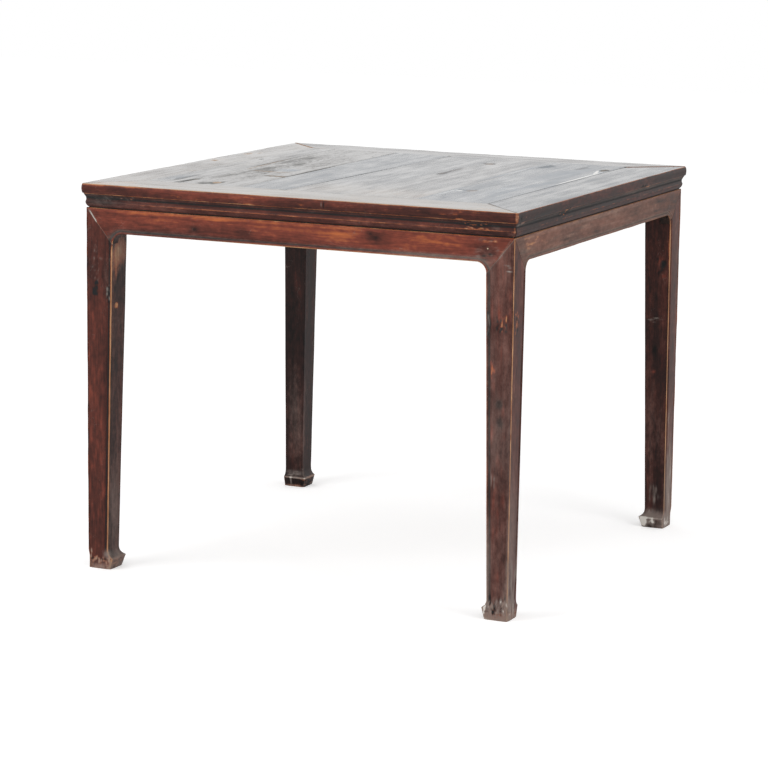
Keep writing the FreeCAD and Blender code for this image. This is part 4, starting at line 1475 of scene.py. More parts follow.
@dataclass
class Aprons:
    """The four aprons under the frame, each mitred to two legs.

    Attributes:
        sizes: The table's shared sizes.
        rounding: Worn rounding of the upper edge.
        fan: Where the mesh starts to lean towards the mitres.
        joint: Half of the gap in each mitre.
        counts: Rings along half of the straight edge and along the curve.
    """

    sizes: TableSizes
    rounding: float = 3.0
    fan: float = 340
    joint: float = 0.2
    counts: tuple[int, int] = (130, 26)

    def front_marks(self) -> list[Mark]:
        """Knots, reddened stretches and scuffs of the front apron."""
        face = self.sizes.apron_inset
        return [
            *knot((-229, face, 744), 3.2, 0.9),
            Mark((-229, face, 745), (24, 6, 8), tone=-0.12),
            Mark((-113, face, 749), (26, 6, 12), tone=-0.18),
            *knot((172, face, 763), 2.6, 0.8),
            *knot((184, face, 755), 2.2, 0.8),
            Mark((182, face, 754), (26, 6, 15), tone=-0.22),
            Mark((-340, face, 770), (120, 6, 2.5), tone=0.2),
            Mark((-40, face, 769), (330, 6, 3), tone=0.16),
            Mark((-170, face, 768), (34, 6, 4), tone=0.16),
            Mark((-330, face, 757), (50, 6, 4), tone=0.12),
            Mark((-80, face, 760), (90, 6, 3), tone=0.18),
            Mark((40, face, 756), (110, 6, 9), tone=0.1),
            Mark((178, face, 737), (20, 6, 3), tone=0.22),
            Mark((320, face, 762), (100, 6, 7), tone=0.1),
            Mark((310, face, 750), (150, 8, 30), tone=0.15, dusty=0.08),
            Mark((440, face, 750), (50, 8, 40), dusty=0.08),
            Mark((300, face, 726), (130, 8, 7), dusty=0.3, worn=0.1),
            *scatter((0, face, 752), (380, 0, 17), 40, (30, 5, 1.6), 31, tone=0.12),
            Mark((-330, face, 740), (90, 6, 9), tone=-0.06),
            Mark((424, face, 744), (24, 6, 24), tone=-0.12, dusty=0.14),
            *scatter((432, face, 766), (18, 0, 3), 9, (5, 5, 0.9), 32, worn=0.46, dusty=0.15),
            *scatter((424, face, 750), (24, 0, 22), 16, (3, 5, 2), 33, dusty=0.3),
            *scatter((428, face, 742), (16, 0, 16), 8, (5, 5, 1.2), 36, tone=-0.3, grimed=0.3),
            *stroke((-478, face, 768), (-461, face, 745), (1.7, 5, 1.7), dusty=1.3),
            *stroke((-461, face, 745), (-434, face, 712), (1, 5, 1), worn=0.3, tone=0.3),
            *stroke((476, face, 769), (452, face, 733), (2, 5, 2), dusty=0.35, worn=0.1),
            Mark((440, face, 716), (14, 6, 10), grimed=0.3, dusty=0.2),
            Mark((-430, face, 717), (26, 8, 9), grimed=0.5, worn=-1.2, dusty=0.1),
            Mark((-320, face, 728), (140, 8, 10), dusty=0.05, worn=-0.5, tone=-0.12, grimed=0.16),
            Mark((120, face, 723), (330, 8, 3), worn=0.3),
        ]

    def right_marks(self) -> list[Mark]:
        """Faded and rubbed places of the right apron."""
        face = self.sizes.apron_inset
        return [
            Mark((-350, face, 758), (90, 6, 14), tone=0.08, worn=0.1),
            *scatter((-380, face, 758), (70, 0, 14), 36, (8, 5, 1.1), 37, worn=0.26, tone=0.1),
            Mark((-442, face, 745), (26, 6, 24), dusty=0.1, tone=-0.12),
            Mark((-60, face, 769), (330, 6, 4), tone=0.1, worn=0.16, dusty=0.25),
            *scatter((-40, face, 752), (380, 0, 16), 40, (30, 5, 2.2), 34, worn=0.12, dusty=0.1),
            *scatter((40, face, 748), (360, 0, 18), 30, (30, 5, 2.2), 35, tone=-0.12),
        ]

    def plain_marks(self) -> list[Mark]:
        """Marks of the back and the left apron."""
        face = self.sizes.apron_inset
        return [Mark((-60, face, 748), (160, 6, 14), tone=0.08), *knot((130, face, 750), 3.5, 1.0)]

    def marks(self, side: Side) -> list[Mark]:
        """Marks of one apron, along it, inward and up."""
        return {Side.FRONT: self.front_marks, Side.RIGHT: self.right_marks}.get(side, self.plain_marks)()

    def build(self, side: Side, palette: Palette) -> None:
        """Make and dress one apron.

        Args:
            side: Its side.
            palette: Gives the materials.
        """
        rings = self.rings()
        away, from_top, on_face = rings.away, rings.from_top, rings.on_face
        faces = away.shape[1]
        skin = Skin(rings.points, 120 + side.value)
        looks = (Look(0.6, 0.04), Look(0.54, 0.22), Look(0.42, 0.3), Look(0.46, 0.3))
        skin.dress(slice(None, faces), looks[side.value])
        skin.dress(slice(faces, None), Look(0.22, 0.15))
        seed = 140 + 5 * side.value
        front = side is Side.FRONT
        skin.press(on_face(0.35 + 0.35 * drift(skin.points[:, :faces, 0] / 60, away / 22, seed + 3)))
        skin.wear(on_face(np.exp(-((away / 1.8) ** 2))), 0.95 if front else 0.5, 0.4, seed)
        skin.wear(on_face(np.exp(-((from_top / 2.2) ** 2))), 0.6 if front else 0.4, 0.3, seed + 1)
        beyond = away - self.sizes.bead_width
        skin.grimed += on_face(np.exp(-(((beyond - 2.4) / 2.0) ** 2))) * 0.75
        skin.dusty += on_face(np.exp(-(((beyond - 3.5) / 4.0) ** 2))) * 0.3
        skin.worn = np.maximum(skin.worn, on_face(0.3 * np.exp(-rings.from_mitre / 1.4)[:, None] + 0 * away))
        skin.mark(*self.marks(side))
        piece = skin.build(f"apron_board_{side.word}", side.value, (0, -self.sizes.half))
        palette.paint(piece, [Finish.FADED if side is Side.RIGHT else Finish.LACQUER])
        hand_over(piece, f"apron_{side.word}")

    def rings(self) -> ApronRings:
        """Loft an apron from mitre to mitre.

        Returns:
            The rings.
        """
        sizes = self.sizes
        straight = sizes.apron_half - sizes.leg_width - sizes.fillet
        length = straight + sizes.fillet * math.pi / 2
        curve = straight + spaced(0, length - straight, self.counts[1])
        run = np.concatenate((np.linspace(0, straight, self.counts[0]), curve))
        run = np.concatenate((-run[:0:-1], run))
        way, sign = np.abs(run), np.sign(run)
        angle = np.clip((way - straight) / sizes.fillet, 0, math.pi / 2)
        foot_x = (np.minimum(way, straight) + sizes.fillet * np.sin(angle))[:, None]
        foot_z = (sizes.mitre_foot + sizes.fillet * np.cos(angle))[:, None]
        lean = np.clip((way - self.fan) / (length - self.fan), 0, 1)
        head_x = np.where(way < self.fan, way, self.fan + lean * (sizes.apron_half - self.fan))[:, None]
        lean_x, lean_z = head_x - foot_x, sizes.frame_bottom - foot_z
        tall = np.linalg.norm(np.concatenate((lean_x, lean_z), axis=1), axis=1)[:, None]
        lean_x, lean_z = lean_x / tall, lean_z / tall
        square = lean_x * np.sin(angle)[:, None] + lean_z * np.cos(angle)[:, None]

        climb = sizes.edge_steps()[None, :] / square
        rest = climb[:, -1:] + (tall - climb[:, -1:]) * spaced(0, 1, 20)[None, :]
        climb = np.concatenate((climb, rest), axis=1)
        away = climb * square
        from_top = (tall - climb) * lean_z
        over = np.clip(1 - from_top / self.rounding, 0, 1)
        depth = sizes.bead_depth(away) + self.rounding * (1 - np.sqrt(1 - over**2))

        # ring: up the face, over the top, down the back and under
        back_climb = tall * np.linspace(1, 0, 7)[None, :]
        back_x = foot_x + lean_x * back_climb
        back_depth = np.clip(sizes.apron_half - back_x - 0.3, 0.5, sizes.apron_thickness)
        under = np.array([[0.75, 0.5, 0.25, 0.1]])
        under_depth = sizes.bead_drop + (back_depth[:, -1:] - sizes.bead_drop) * under
        x = np.concatenate((foot_x + lean_x * climb, back_x, foot_x + 0 * under_depth), axis=1)
        y = np.concatenate((depth, back_depth, under_depth), axis=1) + sizes.apron_inset
        z = (foot_z + lean_z * climb, foot_z + lean_z * back_climb, foot_z + 0 * under_depth)
        shortened = x * sign[:, None] * (1 - self.joint / sizes.apron_half)
        points = np.stack((shortened, y, np.concatenate(z, axis=1)), axis=2)
        return ApronRings(points, away, from_top, length - way)


@dataclass(frozen=True)
class LegAge:
    """How one leg has aged.

    Attributes:
        outer: Looks of its first and second outer face.
        inner: Looks of its first and second inner face, darkened partly by painted shade under the table.
        arris: Wear of the outer arris.
        beads: Wear of the bead on the first and the second outer face.
        mitres: How bare the two mitre lines are.
    """

    outer: tuple[Look, Look]
    inner: tuple[Look, Look]
    arris: float
    beads: Pair
    mitres: Pair


@dataclass
class LegRings:
    """The rings of a leg, and where the points of its two outer faces lie.

    Attributes:
        points: The rings.
        across: Distance of each point of an outer face from the leg's corner.
        from_edge: Its distance from the inner edge.
        fade: Share of the bead that is left at each height.
        reach: Width of the outer faces at each height.
    """

    points: Array
    across: Array
    from_edge: Array
    fade: Array
    reach: Array

    def on_faces(self, first: Array, second: Array | None = None) -> Array:
        """Spread values of the two outer faces over the whole ring.

        Args:
            first: A value for each point of the first face.
            second: The same for the second face, where it differs.

        Returns:
            A value for each point of the rings.
        """
        whole = np.zeros(self.points.shape[:2])
        faces = self.across.shape[1]
        whole[:, :faces] = first
        whole[:, whole.shape[1] - faces + 1 :] = (first if second is None else second)[:, :0:-1]
        return whole


@dataclass
class Legs:
    """The four square, tapered legs with their inward-turned hoof feet.

    Attributes:
        sizes: The table's shared sizes.
        bottom_width: Leg's face above the hoof.
        hoof_height: Floor to the start of the hoof's curve.
        tip_height: Floor to the hoof's tip.
        tip_reach: Tip beyond the leg's inner face.
        sole_reach: Sole beyond the leg's inner face.
        corner: Worn rounding of the outer arris.
        knocked: How far its upright corners are knocked in, and how wide.
        ages: How each leg has aged.
    """

    sizes: TableSizes
    bottom_width: float = 47
    hoof_height: float = 44
    tip_height: float = 23.5
    tip_reach: float = 12.5
    sole_reach: float = 6
    corner: float = 1.6
    knocked: Pair = (2.4, 5.0)
    # the inner faces' low tones are partly painted shade under the table, deepest on the back left leg
    ages: tuple[LegAge, ...] = (
        LegAge(
            (Look(0.46, 0.02), Look(0.4, 0.1)), (Look(0.33, 0.18, 0.16), Look(0.25, 0.2)),
            arris=0.25, beads=(1.15, 0.5), mitres=(1.0, 0.3),
        ),
        LegAge(
            (Look(0.47, 0.16), Look(0.5, 0.32)), (Look(0.2, 0.2), Look(0.2, 0.2)),
            arris=0.9, beads=(0.3, 0.7), mitres=(0.2, 0.8),
        ),
        LegAge(
            (Look(0.36, 0.3), Look(0.46, 0.26)), (Look(0.2, 0.2), Look(0.34, 0.08)),
            arris=0.4, beads=(0.5, 0.95), mitres=(0.4, 0.3),
        ),
        LegAge(
            (Look(0.4, 0.2), Look(0.36, 0.3)), (Look(0.16, -0.1), Look(0.25, 0.1, 0.16)),
            arris=0.5, beads=(0.3, 0.3), mitres=(0.4, 0.4),
        ),
    )

    def width(self, up: Array) -> Array:
        """Width of the leg: sole, hoof, taper and the straight top.

        Args:
            up: Heights above the floor.

        Returns:
            The width at each height.
        """
        drop = self.hoof_height - self.tip_height
        radius = (self.tip_reach**2 + drop**2) / (2 * self.tip_reach)
        share = (up - self.hoof_height) / (self.sizes.mitre_foot - self.hoof_height)
        taper = self.bottom_width + (self.sizes.leg_width - self.bottom_width) * np.clip(share, 0, 1)
        below = np.clip(self.hoof_height - up, 0, drop)
        hoof = self.bottom_width + radius - np.sqrt(radius**2 - below**2)
        sole = self.sole_reach + (self.tip_reach - self.sole_reach) * up / self.tip_height
        low = np.where(up > self.tip_height, hoof, self.bottom_width + sole)
        return np.where(up > self.hoof_height, taper, low)

    def foot_marks(self, corner: Corner) -> list[Mark]:
        """Scuffs, chips and dirt that every hoof has, in a pattern of its own."""
        middle, spread, tip, seed = (28, 28, 10), (34, 34, 12), self.tip_height, 60 + corner.value
        return [
            Mark((30, 30, 0), (80, 80, 13), worn=0.12, dusty=0.36),
            Mark((60, 24, tip), (5, 44, 2.2), worn=0.3, dusty=0.4),
            Mark((24, 60, tip), (44, 5, 2.2), worn=0.3, dusty=0.4),
            Mark((60, 60, 12), (4, 4, 18), worn=0.3, dusty=0.4),
            *scatter(middle, spread, 110, (3.4, 3.4, 1.5), seed, worn=0.36, dusty=0.25),
            *scatter(middle, spread, 90, (4, 4, 1.6), seed + 10, grimed=0.6, tone=-0.2, dusty=-0.3),
        ]

    def front_left_marks(self) -> list[Mark]:
        """Front left leg: its own x runs along the front, its own y along the left side."""
        return [
            Mark((28, 0, 5), (60, 10, 12), dusty=0.34, worn=0.22),
            *stroke((2, 0, 20.5), (46, 0, 20.5), (7, 6, 1.6), grimed=0.5, tone=-0.2),
            Mark((60, 24, 12), (10, 44, 12), dusty=0.2, worn=0.25),
            *scatter((28, 0, 20), (26, 0, 7), 34, (1.5, 5, 3), 41, worn=0.4, dusty=0.34),
            *scatter((4, 0, 34), (3, 0, 14), 6, (1.5, 5, 4), 74, worn=0.26, dusty=0.36),
            Mark((44, 0, 33), (9, 6, 10), dusty=0.75, worn=0.15),
            Mark((58, 24, 34), (8, 40, 9), dusty=0.6, worn=0.2),
            Mark((54, 26, 110), (12, 34, 100), dusty=0.36, tone=0.08),
            Mark((10, 0, 180), (14, 5, 130), tone=0.06),
            Mark((61, 34, 680), (4, 34, 34), worn=0.6, dusty=0.4),
            Mark((58, 16, 660), (4, 12, 60), worn=0.3),
            *scatter((60, 30, 640), (3, 22, 40), 16, (4, 4, 9), 40, grimed=0.4, tone=-0.1),
            *scatter((20, 0, 606), (6, 0, 16), 22, (1.8, 4, 2.6), 42, grimed=0.8, tone=-0.3),
            *scatter((50, 0, 592), (4, 0, 14), 18, (1.6, 4, 2.6), 43, grimed=0.7, tone=-0.3),
            *scatter((50, 0, 598), (4, 0, 24), 9, (1.2, 4, 3), 44, dusty=0.6),
            *scatter((20, 0, 655), (16, 0, 50), 34, (1.5, 4, 3), 45, dusty=0.3, grimed=0.2),
            Mark((14, 0, 650), (12, 4, 60), tone=-0.12, dusty=0.06),
            *scatter((57, 22, 566), (1, 3, 6), 5, (4, 3, 3), 75, worn=0.6, tone=0.3),
            Mark((15, 0, 500), (16, 5, 120), tone=0.05),
            Mark((44, 0, 640), (10, 4, 40), tone=-0.12, dusty=0.14),
            *scatter((24, 0, 300), (22, 0, 280), 30, (3, 4, 16), 46, tone=0.14),
            *stroke((6.5, 0, 768), (23.5, 0, 745), (1.7, 5, 1.7), dusty=1.1, worn=0.1),
            Mark((63, 0, 712), (16, 8, 17), worn=-1.4, grimed=0.5),
        ]

    def front_right_marks(self) -> list[Mark]:
        """Front right leg: its own x runs along the right side, its own y along the front."""
        return [
            Mark((0, 28, 5), (8, 60, 11), dusty=0.26, worn=0.3),
            Mark((9, 0, 34), (12, 8, 14), dusty=0.4, worn=0.2),
            Mark((0, 34, 420), (5, 26, 130), tone=-0.07),
            Mark((28, 0, 8), (60, 8, 13), dusty=0.2, worn=0.2),
            Mark((0, 24, 30), (8, 34, 13), dusty=0.2, worn=0.1),
            *scatter((0, 28, 27), (0, 26, 14), 60, (4, 1.2, 4), 47, worn=0.24, dusty=0.5),
            *scatter((0, 28, 30), (0, 26, 18), 36, (4, 1.3, 6), 58, grimed=0.5, tone=-0.2, dusty=-0.3),
            *scatter((25, 0, 60), (24, 0, 60), 34, (1.6, 4, 14), 48, dusty=0.45, worn=0.12),
            *scatter((25, 0, 50), (24, 0, 50), 20, (1.8, 4, 10), 59, grimed=0.4),
            Mark((0, 0, 100), (3.4, 3.4, 90), worn=0.5),
            Mark((0, 8, 46), (4, 5, 26), worn=0.14, dusty=0.2),
            Mark((0, 53, 90), (6, 12, 90), dusty=0.8, worn=0.16, grimed=-0.3),
            Mark((0, 24, 260), (6, 20, 60), tone=-0.1, dusty=-0.2),
            *scatter((0, 18, 602), (0, 4, 16), 9, (4, 1.2, 5), 49, worn=0.4, tone=0.16),
            *scatter((0, 27, 598), (0, 5, 16), 11, (4, 1.2, 5), 76, worn=0.4, tone=0.16),
            *scatter((0, 24, 600), (0, 12, 16), 24, (4, 1.4, 3.4), 57, grimed=0.7, tone=-0.2, worn=-0.2),
            *stroke((0, 56, 622), (0, 49, 600), (4, 1.7, 3), grimed=0.9, tone=-0.3),
            *stroke((0, 49, 600), (0, 55, 580), (4, 1.7, 3), grimed=0.9, tone=-0.3),
            *scatter((0, 54, 598), (0, 4, 20), 7, (4, 1.3, 5), 50, dusty=0.5),
            *scatter((20, 0, 596), (5, 0, 18), 14, (1.8, 4, 3), 51, grimed=0.5, tone=-0.2),
            *scatter((20, 0, 600), (8, 0, 24), 12, (1.6, 4, 4), 52, worn=0.6),
            *scatter((0, 42, 512), (0, 5, 22), 9, (4, 1.6, 4), 53, tone=0.4, worn=0.1),
            Mark((0, 27, 441), (4, 8, 9), tone=-0.24),
            Mark((0, 24, 404), (4, 7, 12), tone=-0.22),
            Mark((0, 28, 330), (5, 22, 90), dusty=0.1),
            *scatter((0, 14, 714), (0, 5, 7), 6, (4, 4, 0.9), 54, dusty=0.55),
            *scatter((0, 38, 290), (0, 4, 14), 4, (4, 1.3, 7), 55, dusty=0.5),
            Mark((6, 0, 150), (46, 4, 150), dusty=0.36, worn=0.12),
            *scatter((0, 30, 380), (0, 24, 290), 30, (4, 3, 14), 56, tone=0.14),
            *stroke((0, 8.5, 769), (0, 32.5, 733), (5, 2, 2), dusty=0.35, worn=0.1),
        ]

    def back_right_marks(self) -> list[Mark]:
        """Back right leg: its own x runs along the back, its own y along the right side."""
        tip = self.tip_height
        return [
            *scatter((20, 57, 604), (8, 0, 18), 18, (2.2, 4, 3.4), 61, grimed=0.6, tone=-0.2),
            *scatter((20, 57, 604), (10, 0, 24), 12, (2, 4, 5), 62, tone=0.34),
            *knot((31, 53, 412), 3, 1.0, along=2),
            Mark((33, 54, 362), (3, 4, 3), tone=0.5),
            *stroke((44, 55, 478), (24, 55, 486), (3, 4, 0.8), dusty=0.4),
            *scatter((32, 55, 480), (16, 0, 7), 10, (5, 4, 0.9), 63, dusty=0.5),
            Mark((28, 55, 150), (40, 5, 130), tone=0.1, dusty=0.5),
            *scatter((26, 50, 66), (11, 4, 34), 20, (1.4, 6, 9), 64, dusty=0.4),
            *stroke((26, 50, 96), (21, 52, 44), (1.6, 6, 5), dusty=0.5),
            Mark((28, 58, 34), (44, 12, 11), dusty=0.9, tone=0.1),
            Mark((28, 60, tip), (44, 5, 2.4), dusty=0.4, worn=0.3),
            Mark((48, 60, 12), (9, 10, 11), dusty=3.0, worn=-0.4),
            Mark((25, 60, 13), (2.6, 6, 9), dusty=1.5),
            *scatter((30, 60, 17), (10, 1, 4), 8, (2.4, 6, 3), 65, dusty=0.8),
            Mark((8, 60, 12), (11, 6, 9), grimed=0.3, tone=-0.1, dusty=-0.3, worn=-0.5),
            *stroke((1.5, 58, 700), (1.5, 57, 600), (1.6, 4, 8), worn=0.5, tone=0.2),
            Mark((2.5, 57, 655), (2.4, 4, 26), worn=0.4),
            Mark((0, 46, 360), (4, 14, 420), tone=-0.06, dusty=-0.18),
            Mark((0, 26, 90), (4, 40, 90), dusty=0.5, worn=0.14),
            Mark((0, 28, 12), (8, 60, 16), dusty=0.6, worn=0.1),
            *scatter((0, 30, 140), (0, 24, 120), 20, (4, 2.4, 18), 67, dusty=0.3, worn=0.2),
        ]

    def back_left_marks(self) -> list[Mark]:
        """Back left leg: its own x runs along the left side, its own y along the back."""
        tip = self.tip_height
        return [
            Mark((60, 30, tip), (5, 50, 2.4), worn=0.3, dusty=1.0),
            Mark((60, 20, 12), (6, 2.4, 14), worn=0.2, dusty=1.3),
            Mark((60, 59, 12), (6, 6, 16), worn=0.5, dusty=0.7),
            Mark((58, 30, 2.0), (8, 50, 2.4), worn=0.5, dusty=0.5),
            Mark((60, 1, 12), (6, 3, 12), worn=0.4, dusty=0.5),
            Mark((30, 60, tip), (40, 5, 2.4), worn=0.4, dusty=0.6),
            Mark((60, 38, 12), (6, 10, 6), worn=-0.6, dusty=-0.7, tone=-0.05),
            Mark((60, 10, 12), (6, 6, 6), worn=-0.6, dusty=-0.7, tone=-0.05),
            Mark((54, 34, 33), (12, 44, 7), dusty=0.45),
            *scatter((56, 30, 36), (6, 26, 8), 16, (5, 4, 1.5), 68, dusty=0.6),
            Mark((50, 30, 150), (10, 40, 130), tone=0.16, dusty=0.4),
            Mark((56, 18, 270), (6, 16, 110), tone=0.1, dusty=0.3),
            Mark((44, 58, 600), (8, 5, 90), tone=-0.06),
            *scatter((54, 30, 330), (0, 22, 250), 14, (4, 3, 30), 69, tone=0.1),
        ]

    def marks(self, corner: Corner) -> list[Mark]:
        """Marks of one leg: along its side, inward and up."""
        own = (self.front_left_marks, self.front_right_marks, self.back_right_marks, self.back_left_marks)
        return [*self.foot_marks(corner), *own[corner.value]()]

    def build(self, corner: Corner, palette: Palette) -> None:
        """Make and dress one leg.

        Args:
            corner: Which leg.
            palette: Gives the materials.
        """
        rings = self.rings()
        skin = Skin(rings.points, 160 + corner.value, order=(2, 0, 1))
        age = self.ages[corner.value]
        faces, ring = rings.across.shape[1], rings.points.shape[1]
        inner = (ring - 2 * faces + 1) // 2
        for start, look in zip((0, faces, faces + inner), (age.outer[0], *age.inner)):
            skin.dress(slice(start, None), look)
        skin.dress(slice(ring - faces + 1, None), age.outer[1])
        self.wear(skin, rings, age, 200 + 9 * corner.value)
        skin.mark(*self.marks(corner))
        half = self.sizes.apron_half
        piece = skin.build(f"table_leg_{corner.word}", corner.value, (-half, -half))
        palette.paint(piece, [Finish.LACQUER])
        hand_over(piece, f"leg_{corner.word}")

    def rings(self) -> LegRings:
        """Loft a leg from the sole to the top of its mitres.

        Returns:
            The rings.
        """
        sizes = self.sizes
        foot, top = sizes.mitre_foot, sizes.frame_bottom
        heights = (
            [0],
            spaced(0, self.tip_height, 20),
            self.tip_height + spaced(0, self.hoof_height - self.tip_height, 18),
            np.linspace(self.hoof_height, foot, 270)[1:],
            np.linspace(foot, top - 0.3, 50)[1:],
        )
        up = np.concatenate(heights)[:, None]
        wide = self.width(up)
        reach = wide * np.clip((top - up) / (top - foot), 0.004, 1)
        # one outer face, from the leg's corner to its inner edge or to the mitre
        steps = sizes.edge_steps()
        across = np.concatenate((wide - steps, (wide - steps[-1]) * (1 - spaced(0, 1, 32))), axis=1)
        across = across[:, ::-1] * reach / wide
        around = np.hypot(wide + sizes.fillet - across, np.clip(up - foot, 0, None)) - sizes.fillet
        from_edge = np.where(up > foot, around, wide - across)
        fade = ease(up, self.tip_height + 2, self.hoof_height + 4)
        depth = sizes.bead_depth(np.clip(from_edge, 0, None)) * fade
        depth = depth + self.corner * 0.3 * np.clip(1 - across / self.corner, 0, 1) ** 2

        # the inner faces: round the edge, to the inner corner, and back
        thickness = sizes.apron_thickness
        shelf = np.where(up <= foot, np.minimum(thickness, wide * 0.5), thickness)
        turn = np.minimum(reach, 16.0)
        stops = [(reach, turn * 0.1), (reach, turn * 0.3), (reach, turn)]
        stops += [(reach + (wide - reach) * t, turn + (shelf - turn) * t) for t in (0.5, 1)]
        shares = (0.12, 0.25, 0.38, 0.5, 0.62, 0.74, 0.85, 0.95, 1)
        stops += [(wide, shelf + (wide - shelf) * t) for t in shares]
        ring = [(across, depth), *stops, *((y, x) for x, y in stops[-2::-1])]
        ring.append((depth[:, :0:-1], across[:, :0:-1]))
        x, y = (np.concatenate(parts, axis=1) for parts in zip(*ring))
        points = np.stack(np.broadcast_arrays(x, y, up), axis=2)
        return LegRings(points, across, from_edge, fade, reach)

    def wear(self, skin: Skin, rings: LegRings, age: LegAge, seed: int) -> None:
        """Rub a leg's arris, beads and mitres, and knock its hoof's corners round.

        Args:
            skin: The leg.
            rings: Its rings.
            age: How it has aged.
            seed: Picks where it is worn most.
        """
        up = rings.points[:, :1, 2]
        on_faces, across, from_edge = rings.on_faces, rings.across, rings.from_edge
        around = np.arange(rings.points.shape[1])
        skin.press(0.3 + 0.3 * drift(up / 80, around / 16, seed + 3))
        skin.wear(on_faces(np.exp(-((across / 1.5) ** 2))), age.arris, 0.7, seed)
        # the more a bead is worn, the wider the bare wood on it
        near = np.clip(from_edge, 0, None)
        beads = [bare * np.exp(-((near / (1.8 + 1.2 * bare)) ** 2)) for bare in age.beads]
        skin.wear(on_faces(*beads), 1.0, 0.3, seed + 1)
        groove = (from_edge - self.sizes.bead_width - 2.9) / 2.7
        skin.grimed += on_faces(np.exp(-(groove**2)) * rings.fade) * 0.8
        mitre = np.exp(-(rings.reach - across) / 1.5) * (up > self.sizes.mitre_foot)
        mitre = on_faces(mitre * age.mitres[0], mitre * age.mitres[1])
        skin.worn = np.maximum(skin.worn, 0.5 * mitre)
        skin.dusty += 0.7 * mitre

        low = 1 - ease(up, self.tip_height, self.hoof_height)
        reach, none = rings.reach, 0 * up
        depth, wide = self.knocked
        for x, y in ((reach, none), (reach, reach), (none, reach), (none, none)):
            away = (skin.points[..., 0] - x) ** 2 + (skin.points[..., 1] - y) ** 2
            inward = skin.points.mean(1, keepdims=True) - skin.points
            inward = inward / np.linalg.norm(inward, axis=2, keepdims=True)
            inward[..., 2] = 0
            skin.press(np.exp(-(away / wide**2)) * low * depth, inward)


@dataclass
class ApronPin:
    """The pale pin that holds the near end of the front apron to its leg.

    Attributes:
        node: The solid that it stands for.
        proud: How far its cut end stands out.
    """

    node: str = "apron_pin"
    proud: float = 0.3

    def build(self, palette: Palette) -> None:
        """Make and dress the pin, at the place and size of its solid.

        Args:
            palette: Gives the materials.
        """
        low, high = (np.array(end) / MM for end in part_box(self.node))
        radius, middle = (high[0] - low[0]) / 2, (low + high) / 2
        angle = np.linspace(0, 2 * math.pi, 28, endpoint=False)
        ragged = 1 + 0.06 * drift(angle, angle * 0, 7)
        # share of the radius and depth of each ring, from the domed end inward
        rows = [(0.05, -self.proud), (0.5, -0.9 * self.proud), (0.85, -0.5 * self.proud), (1.0, 0.05)]
        rows += [(1.0, 1.0), (1.0, high[1] - low[1])]
        share, depth = np.array(rows).T[..., None]
        across = radius * share * ragged
        points = np.stack(np.broadcast_arrays(across * np.cos(angle), depth, across * np.sin(angle)), axis=2)
        skin = Skin(points + (middle[0], low[1], middle[2]), 300, order=(1, 0, 2))
        skin.grimed[3:] = 0.9
        piece = skin.build("pin_end", 0, (0, 0))
        palette.paint(piece, [Finish.PEG])
        hand_over(piece, self.node)


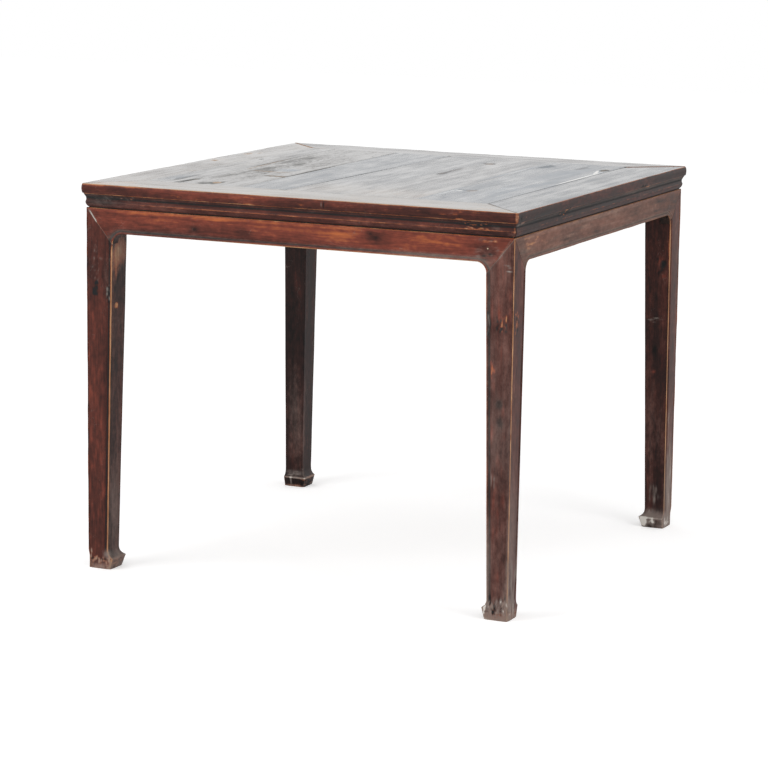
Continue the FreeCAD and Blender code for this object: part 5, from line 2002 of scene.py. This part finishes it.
@dataclass
class Studio:
    """A plain white studio: floor, soft light and the camera.

    Attributes:
        focal: Focal length in millimetres.
        azimuth: Angle of the camera about the table, from square on to the front.
        elevation: Angle above the floor.
        roll: Tilt about the line of sight.
        eye: Where the camera stands, in millimetres.
        floor_half: Half of the floor's width in metres.
        floor_glow: Glow of the floor to the camera.
        surround: Brightness of the surround as light and as seen.
        lamps: Name, place, size and power of each lamp.
        lit: Point that the lamps shine at, in metres.
    """

    focal: float = 136.68
    azimuth: float = 25.01
    elevation: float = 10.4928
    roll: float = 0.721
    eye: Spot = (2644.14, -5710.30, 1528.03)
    floor_half: float = 12.0
    floor_glow: float = 0.4
    surround: Pair = (0.72, 1.0)
    lamps: tuple[tuple[str, Spot, float, float], ...] = (
        ("key_softbox", (-2.2, -3.0, 3.0), 2.2, 48),
        ("right_softbox", (3.6, -1.0, 2.2), 1.8, 30),
    )
    lit: Spot = (0, 0, 0.5)

    def build(self) -> None:
        """Set the stage."""
        self.lay_floor()
        self.surround_it()
        self.light()
        self.aim()

    def lay_floor(self) -> None:
        """A pale matt floor that reads white and keeps the table's soft shadow."""
        half = self.floor_half
        corners = [(-half, -half, 0), (half, -half, 0), (half, half, 0), (-half, half, 0)]
        mesh = bpy.data.meshes.new("floor")
        mesh.from_pydata(corners, [], [(0, 1, 2, 3)])
        floor = bpy.data.objects.new("floor", mesh)
        bpy.context.scene.collection.objects.link(floor)
        finish = bpy.data.materials.new("matt_white_floor")
        finish.use_nodes = True
        tree = finish.node_tree
        tree.nodes.clear()
        seen = add(tree, "LightPath").outputs["Is Camera Ray"]
        matt = add(tree, "BsdfDiffuse", {"Color": linear("#f2f2f2")})
        lift = add(tree, "Math", {0: seen, 1: self.floor_glow}, operation="MULTIPLY")
        glow = add(tree, "Emission", {"Color": linear("#ffffff"), "Strength": lift.outputs[0]})
        both = add(tree, "AddShader", {0: matt.outputs[0], 1: glow.outputs[0]})
        add(tree, "OutputMaterial", {0: both.outputs[0]})
        mesh.materials.append(finish)
        floor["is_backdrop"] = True

    def surround_it(self) -> None:
        """An even white surround, a little dimmer where it only lights the table."""
        world = bpy.data.worlds.new("white_surround")
        bpy.context.scene.world = world
        world.use_nodes = True
        tree = world.node_tree
        tree.nodes.clear()
        path = add(tree, "LightPath").outputs
        seen = path["Is Camera Ray"]
        for ray in ("Is Transmission Ray", "Is Glossy Ray"):
            seen = add(tree, "Math", {0: seen, 1: path[ray]}, operation="MAXIMUM").outputs[0]
        lit, shown = self.surround
        level = add(tree, "MapRange", {"Value": seen, "To Min": lit, "To Max": shown})
        back = add(tree, "Background", {"Color": linear("#ffffff"), "Strength": level.outputs[0]})
        add(tree, "OutputWorld", {0: back.outputs[0]})

    def light(self) -> None:
        """Large soft lamps: the key in front on the left, a weaker one on the right."""
        for name, place, size, power in self.lamps:
            lamp = bpy.data.lights.new(name, "AREA")
            lamp.shape = "SQUARE"
            lamp.size = size
            lamp.energy = power
            holder = bpy.data.objects.new(name, lamp)
            bpy.context.scene.collection.objects.link(holder)
            holder.location = place
            aim = Vector(self.lit) - Vector(place)
            holder.rotation_euler = aim.to_track_quat("-Z", "Y").to_euler()

    def aim(self) -> None:
        """Stand the camera where it sees the table at its three-quarter angle."""
        azimuth, elevation, roll = (math.radians(turn) for turn in (self.azimuth, self.elevation, self.roll))
        ahead = math.cos(elevation)
        back = Vector((math.sin(azimuth) * ahead, -math.cos(azimuth) * ahead, math.sin(elevation)))
        level = Vector((math.cos(azimuth), math.sin(azimuth), 0))
        upright = back.cross(level)
        right = math.cos(roll) * level + math.sin(roll) * upright
        up = math.cos(roll) * upright - math.sin(roll) * level
        camera = bpy.data.cameras.new("camera")
        camera.lens = self.focal
        camera.clip_end = 60
        holder = bpy.data.objects.new("camera", camera)
        bpy.context.scene.collection.objects.link(holder)
        turn = Matrix((right, up, back)).transposed()
        holder.matrix_world = Matrix.Translation(Vector(self.eye) * MM) @ turn.to_4x4()
        bpy.context.scene.camera = holder
        bpy.context.scene.view_settings.view_transform = "Standard"


def main() -> None:
    """Build the table's pieces in order and set the stage."""
    logging.basicConfig(level=logging.INFO, format="%(message)s")
    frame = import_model()
    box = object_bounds()
    low, high = (np.array(corner) for corner in box)
    sizes = TableSizes(half=float(high[0] - low[0]) / 2 / MM, height=float(high[2]) / MM)
    palette = Palette()
    top, panel, aprons, legs = (kind(sizes) for kind in (TopFrame, BoardedPanel, Aprons, Legs))
    for side in Side:
        top.build(side, palette)
    for index in range(1, len(panel.seams())):
        panel.build(index, palette)
    for side in Side:
        aprons.build(side, palette)
    for corner in Corner:
        legs.build(corner, palette)
    ApronPin().build(palette)
    for name, node in frame["nodes"].items():
        if name.startswith("batten"):
            node.data.materials.clear()
            palette.paint(node, [Finish.CARRIED])
    Studio().build()


if __name__ == "__main__":
    main()
